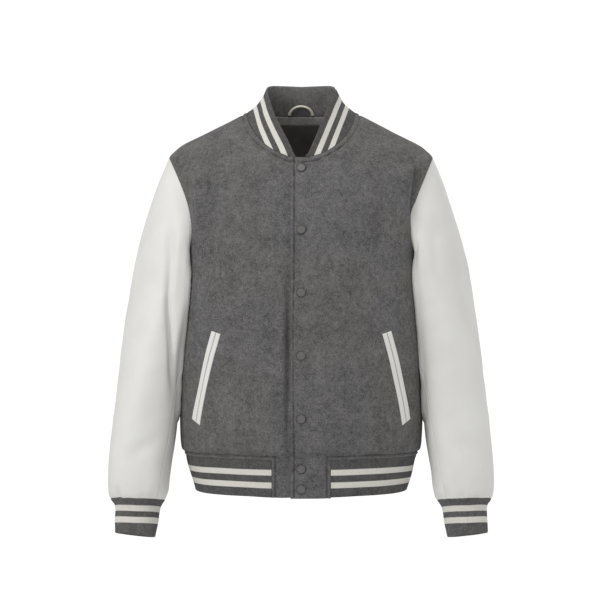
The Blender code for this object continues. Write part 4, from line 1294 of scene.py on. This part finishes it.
collarTrim = {
    "ribs": 178,
    "perRib": 5,
    "length": 0.065,
    "cell": 0.0030,
    "fine": (0.0006, 0.0005),  # at its seam and its top
    "hollow": (0.0025, 0.05),  # how far it bends in, where it is at least this tall
    "lumps": (0.0005, 0.02, 301),
    "calm": 0.02,
    "edges": {"seam": (0.0012, 0.4), "top": (0.0032, 1.0), "front": (0.0020, 0.9)},
    "flat": (0.480, 0.072),
    "area": 0.0235,
}


def collarEdgeAt(share):
    row = np.interp(share, collarTable["share"], np.arange(len(collarEdge)))
    return np.stack([along(collarTable[name], row) for name in "xyz"], axis=-1)


def makeCollar():
    facts = collarTrim
    neck, ribs = level["neck"], facts["ribs"]
    columns = ribs * facts["perRib"] + 1
    leftStart, rightStart = angleAt(collarEnds["left"], neck), angleAt(collarEnds["right"], neck)
    angles = np.linspace(leftStart, 2 * math.pi - rightStart, columns)
    steps = runAlong(smoothBody(angles, np.full_like(angles, neck)), 0)
    angles = np.interp(np.linspace(0, steps[-1], columns), steps, angles)
    seam, out = foldedBody(angles, np.full_like(angles, neck))
    # its top edge, from the left front end over the back to the right one
    way = np.linspace(0, 2, columns)
    right = way > 1
    edge = collarEdgeAt(np.where(right, 2 - way, way)) * np.where(right[:, None], [-1, 1, 1], [1, 1, 1])
    edge[:, 0] -= collarLeans["far"] * pressedAt(way, 2 - collarLeans["place"], collarLeans["width"])
    heights = gradedShares(facts["length"], *facts["fine"], facts["cell"])
    height = heights[:, None, None]
    points = seam + (edge - seam) * height
    normals = unit(np.cross(np.gradient(points, axis=1), edge - seam))
    tall = np.linalg.norm(edge - seam, axis=1)
    deep, fullAt = facts["hollow"]
    points = points - normals * 4 * height * (1 - height) * (deep * smooth(tall / fullAt))[:, None]
    tucked = lapDepth(seam[:, 0]) * (seam[:, 0] < 0) * (out[:, 1] < 0)
    points = points - out * tucked[:, None]
    fromSeam, fromTop = heights[:, None] * tall, (1 - heights)[:, None] * tall
    girth = np.broadcast_to(way * ribs * ribTrim["pitch"] / 2, fromSeam.shape)
    rise, size, seed = facts["lumps"]
    lumps = rise * uneven(girth, fromSeam, size, seed) * smooth(fromSeam / facts["calm"])
    relief = ribRelief(girth, fromSeam, fromTop) + lumps
    fromFront = np.minimum(way, 2 - way)[None, :] * steps[-1] / 2
    away = {"seam": fromSeam, "top": fromTop, "front": fromFront}
    thin = np.minimum(ribTrim["thick"], tall)[None, :]
    outer, inner = wallOf(points, normals, thin, facts["edges"], away, relief)
    lay = np.stack((girth, fromTop), axis=-1)
    mesh = gridMesh("collar_knit", outer, inner, lay=lay)
    return addPiece(mesh, [collarRib, litRibInside], "collar")


collarPiece = makeCollar()
hemPiece = makeHemRib()
cuffPieces = [makeCuff(1, "left", 211), makeCuff(-1, "right", 221)]
print("rib trims made")


# Inside the back neck: a facing below the collar, and the lining that hangs from it.
insideNeck = {
    "gap": 0.001,
    "columns": 90,
    "easeOver": 2,  # levels below the facing, over which the lining comes away from the back
    "facing": {
        "end": math.radians(100),
        "depth": 0.32,  # in levels
        "rows": 16,
        "thick": 0.0012,
        "ease": 0.0,
        "edges": {"ends": (0.001, 0.8), "low": (0.001, 0.8), "top": (0.001, 0.5)},
        "flat": (0.200, 0.024),
    },
    "lining": {
        "end": math.radians(118),
        "low": 1.4,
        "topLap": 0.05,  # by which it reaches up behind the facing, in levels
        "rows": 110,
        "thick": 0.0010,
        "ease": 0.005,
        "folds": (0.0012, 0.3, 0.03, 401),  # depth, how upright, size and seed
        "calm": 0.03,
        "edges": {"ends": (0.001, 0.8), "low": (0.001, 0.8), "top": (0.001, 0.8)},
        "flat": (0.440, 0.560),
        "area": 0.22,
    },
}


facingLow = level["neck"] - insideNeck["facing"]["depth"]


def innerWall(facts, low, high):
    # points that lie inside the back between two levels, and what they are away from the edges
    angles = np.linspace(facts["end"], 2 * math.pi - facts["end"], insideNeck["columns"])[None, :]
    angles, rows = np.broadcast_arrays(angles, np.linspace(low, high, facts["rows"])[:, None])
    points, normals = foldedBody(angles, rows)
    eased = facts["ease"] * smooth((facingLow - rows) / insideNeck["easeOver"])
    deep = frontCloth["thick"] + insideNeck["gap"] + eased
    points = points - normals * deep[..., None]
    left, right, fromLow, fromTop = fromEdges(points)
    return points, normals, left, {"ends": np.minimum(left, right), "low": fromLow, "top": fromTop}


def makeFacing():
    facts = insideNeck["facing"]
    points, normals, _, away = innerWall(facts, facingLow, level["neck"])
    outer, inner = wallOf(points, normals, facts["thick"], facts["edges"], away)
    mesh = gridMesh("facing_cloth", outer, inner)
    # its wool is painted lighter, standing in for light inside the neck
    return addPiece(mesh, [litFacingWool, litFacingWool], "neck_facing")


def makeLining():
    facts = insideNeck["lining"]
    points, normals, left, away = innerWall(facts, facts["low"], facingLow + facts["topLap"])
    deep, upright, size, seed = facts["folds"]
    folds = deep * uneven(left, points[..., 2] * upright, size, seed)
    folds = folds * smooth(away["top"] / facts["calm"]) * smooth(away["low"] / facts["calm"])
    outer, inner = wallOf(points, normals, facts["thick"], facts["edges"], away)
    sunk = normals * np.abs(folds)[..., None]
    mesh = gridMesh("lining_satin", outer - sunk, inner - sunk)
    # its satin is painted lighter, standing in for light inside the neck
    return addPiece(mesh, [litNeckSatin, litNeckSatin], "back_lining")


facingPiece, liningPiece = makeFacing(), makeLining()

hangerLoop = {
    "half": 0.0205,
    "height": 0.0160,
    "lean": 0.6,
    "clear": 0.0028,  # from the collar's inside
    "above": 0.0003,  # the neck seam
    "steps": (61, 20),  # along the cord and round it
    "tallRadius": 0.0020,
    "thinRadius": 0.0012,
    "foot": (0.7, 0.2, 0.35),  # how much wider and thinner its sewn-down feet are, and their reach
}


def makeHangerLoop():
    # a flat covered cord, bent to an arch
    facts = hangerLoop
    stepsAlong, stepsRound = facts["steps"]
    turns = np.radians(np.linspace(0, 180, stepsAlong))
    rise = facts["height"] * np.sin(turns)
    x = facts["half"] * np.cos(turns)
    neckBack, neckHalf = bodyTable["back"][-1], bodyTable["halfWidth"][-1]
    gap = ribTrim["thick"] + facts["clear"]
    y = neckBack * np.sqrt(1 - (x / neckHalf) ** 2) - gap - facts["lean"] * rise
    centre = np.stack((x, y, bodyTable["backZ"][-1] + facts["above"] + rise), axis=-1)
    ahead = unit(np.gradient(centre, axis=0))
    out = unit(np.cross(ahead, np.array([0.0, -1.0, facts["lean"] / 2])))
    facing = np.cross(out, ahead)
    wider, thinner, reach = facts["foot"]
    foot = np.exp(-np.minimum(turns, math.pi - turns) / reach)
    tall, thin = facts["tallRadius"] * (1 + wider * foot), facts["thinRadius"] * (1 - thinner * foot)
    circle = np.linspace(0, 2 * math.pi, stepsRound, endpoint=False)
    ring = out[:, None] * (tall[:, None] * np.cos(circle))[..., None]
    ring = ring + facing[:, None] * (thin[:, None] * np.sin(circle))[..., None]
    points = (centre[:, None] + ring).reshape(-1, 3)
    index = np.arange(len(points)).reshape(stepsAlong, stepsRound)
    beside = np.roll(index, -1, axis=1)
    faces = np.stack((index[:-1], beside[:-1], beside[1:], index[1:]), axis=-1).reshape(-1, 4)
    faces = faces.tolist() + [index[0][::-1].tolist(), index[-1].tolist()]
    mesh = bpy.data.meshes.new("loop_cord")
    mesh.from_pydata(points.tolist(), [], faces)
    mesh.shade_smooth()
    return addPiece(mesh, [cordCover], "hanger_loop")


makeHangerLoop()
print("neck trims made")


# Pockets.
pocketWelts = {
    "top": (0.1443, -0.3806),
    "bottom": (0.1796, -0.5339),
    "bow": 0.0025,
    "width": 0.0075,
    "slit": 0.0008,
    "slant": (0.10, 0.42),  # how far the ends are cut off square, at the top and at the bottom
    "thick": 0.0012,
    "sunk": 0.0008,
    "lift": 0.0003,
    "cells": (0.0004, 0.0030, 0.0003, 0.0010),  # fine and coarse, along and across
    "sides": (0.25, 0.0022),  # the share of its thickness at an edge, and how soon it is full
    "ends": (0.3, 0.0016),
    "stitch": (0.0005, 0.0019, 0.0005),  # depth, place from the edge, width
    "stitchEnd": 0.002,
}


def makePocketLip(side, sideName, lip, lipName):
    facts = pocketWelts
    fine, cell, fineAcross, cellAcross = facts["cells"]
    top, bottom = np.array(facts["top"]), np.array(facts["bottom"])
    length = np.linalg.norm(bottom - top)
    down = gradedShares(length, fine, fine, cell)[::-1][:, None, None]
    way = unit(bottom - top)
    aside = np.array([-way[1], way[0]])
    bow = facts["bow"] * 4 * down * (1 - down)
    shares = gradedStops([(0, fineAcross), (facts["width"], fineAcross)], cellAcross)
    across = np.sort(lip * (facts["slit"] / 2 + shares))[None, :, None]
    slant = facts["slant"][0] + (facts["slant"][1] - facts["slant"][0]) * down
    spots = top + (bottom - top) * down + aside * (across + bow) - way * across * slant
    angles, rows = frontPlace(spots[..., 0], spots[..., 1])
    if side == -1:
        angles, rows = -angles[:, ::-1], rows[:, ::-1]
    points, normals = foldedBody(angles, rows)
    foot = points + normals * facts["lift"]
    left, right, low, high = fromEdges(foot)
    fromSide, fromEnd = np.minimum(left, right), np.minimum(low, high)
    rise = facts["thick"]
    for away, (least, reach) in ((fromSide, facts["sides"]), (fromEnd, facts["ends"])):
        rise = rise * (least + (1 - least) * bulged(away / reach))
    deep, place, wide = facts["stitch"]
    rise = rise - deep * pressedAt(fromSide, place, wide) * smooth(fromEnd / facts["stitchEnd"])
    name = f"pocket_{sideName}_{lipName}_lip"
    mesh = gridMesh(f"{name}_leather", foot + normals * rise[..., None], foot - normals * facts["sunk"])
    return addPiece(mesh, [leather, leather], name)


pocketPieces = {
    sideName: [
        makePocketLip(side, sideName, lip, lipName) for lip, lipName in ((-1, "front"), (1, "rear"))
    ]
    for side, sideName in sides.items()
}
print("pockets made")


# Snap caps: a turned profile of reach and height, as shares of the radius and the height.
snapCap = {
    "radius": 0.0069,
    "height": 0.0018,
    "seat": 0.0005,
    "crown": ((0.0, 0.93), (0.35, 0.925), (0.62, 0.90)),
    "ring": ((1.9, 0.86), (1.5, 0.84)),  # the groove inside the rim, in rims from the edge
    "rim": 0.0010,
    "foot": (0.0004, 0.0002),  # how far it draws in below, and from which height
    "steps": (48, 7),  # round the cap and over its rim
    "merge": 0.00005,
}


def makeSnapCap(number, z):
    facts = snapCap
    radius, height, rim = facts["radius"], facts["height"], facts["rim"]
    stepsRound, stepsOver = facts["steps"]
    seat, out = snapSeat(z)
    profile = [(radius * reach, height * share) for reach, share in facts["crown"]]
    profile += [(radius - rim * rims, height * share) for rims, share in facts["ring"]]
    for turn in np.radians(np.linspace(0, 90, stepsOver)):
        profile.append((radius - rim + rim * math.sin(turn), height - rim + rim * math.cos(turn)))
    drawn, low = facts["foot"]
    profile += [(radius, low), (radius - drawn, 0.0), (0.0, 0.0)]
    mesh = bpy.data.meshes.new(f"snap_cap_{number}")
    edges = [(i, i + 1) for i in range(len(profile) - 1)]
    mesh.from_pydata([(reach, 0, up) for reach, up in profile], edges, [])
    piece = addPiece(mesh, [capFinish], f"snap_{number}")
    turned = piece.modifiers.new("turned", "SCREW")
    turned.steps = turned.render_steps = stepsRound
    turned.use_merge_vertices = True
    turned.merge_threshold = facts["merge"]
    turned.use_smooth_shade = True
    xAxis = unit(np.cross([0, 0, 1], out))
    placed = np.eye(4)
    placed[:3, :3] = np.stack((xAxis, np.cross(out, xAxis), out), axis=1)
    placed[:3, 3] = seat + out * facts["seat"]
    piece.matrix_world = Matrix(placed.tolist())
    return piece


snapPieces = [makeSnapCap(number, z) for number, z in enumerate(snapPress["heights"], 1)]
print("snaps made")
# Studio: pale floor, soft light from front left and above, white all round.
studio = {
    "floor": {"z": -1.45, "radius": 2.4, "corners": 96},
    "floorPale": ((0.80, 0.80, 0.80, 1), (0.84, 0.84, 0.84, 1), 3.0),  # two tones and their scale
    "floorRoughness": 0.9,
    "cameraPlace": (-0.002, -3.5, -0.3255),
    "lens": 120.0,  # in millimetres, on a sensor this wide
    "sensor": 36.0,
    "seen": 1.05,
    "ambient": 0.67,
    "aim": (0, 0, -0.33),
    "lamps": {  # place, size, watts
        "key": ((-2.5, -2.4, 1.1), 1.4, 46.0),
        "fill": ((3.1, -0.35, 0.0), 1.8, 14.0),
        "top": ((-0.3, -1.3, 2.3), 1.6, 22.0),
        "back": ((0.8, 2.6, 1.0), 2.0, 14.0),
    },
}


def makeFloor(facts):
    radius, z, corners = facts["floor"]["radius"], facts["floor"]["z"], facts["floor"]["corners"]
    turns = np.linspace(0, 2 * math.pi, corners + 1)[:-1]
    mesh = bpy.data.meshes.new("floor")
    ring = [(radius * math.cos(turn), radius * math.sin(turn), z) for turn in turns]
    mesh.from_pydata(ring, [], [list(range(corners))])
    dark, light, scale = facts["floorPale"]
    pale, tree, shader, place = newMaterial("pale floor")
    feed(shader, {
        "Base Color": mixColours(tree, noise(tree, place, scale), dark, light),
        "Roughness": facts["floorRoughness"],
    })
    mesh.materials.append(pale)
    addToScene("floor", mesh)


def makeSky(facts):
    world = bpy.data.worlds.new("studio")
    bpy.context.scene.world = world
    world.use_nodes = True
    sky = world.node_tree
    sky.nodes.clear()
    seen = addNode(sky, "ShaderNodeLightPath").outputs["Is Camera Ray"]
    strength = maths(sky, "MULTIPLY", seen, facts["seen"] - facts["ambient"])
    strength = maths(sky, "ADD", strength, facts["ambient"])
    glow = addNode(sky, "ShaderNodeBackground", {"Color": (1, 1, 1, 1), "Strength": strength})
    addNode(sky, "ShaderNodeOutputWorld", {"Surface": glow.outputs["Background"]})


def makeStudio():
    facts = studio
    makeFloor(facts)
    makeSky(facts)
    aim = Vector(facts["aim"])
    for name, (spot, size, power) in facts["lamps"].items():
        light = bpy.data.lights.new(name, "AREA")
        light.shape = "DISK"
        light.size = size
        light.energy = power
        lamp = addToScene(name, light)
        lamp.location = spot
        lamp.rotation_euler = (aim - Vector(spot)).to_track_quat("-Z", "Y").to_euler()
    eye = bpy.data.cameras.new("camera")
    eye.lens = facts["lens"]
    eye.sensor_width = facts["sensor"]
    camera = addToScene("camera", eye)
    camera.location = facts["cameraPlace"]
    camera.rotation_euler = (math.pi / 2, 0, 0)
    bpy.context.scene.camera = camera
    bpy.context.scene.view_settings.view_transform = "Standard"
    bpy.context.scene.view_settings.look = "None"


makeStudio()
print("studio made")
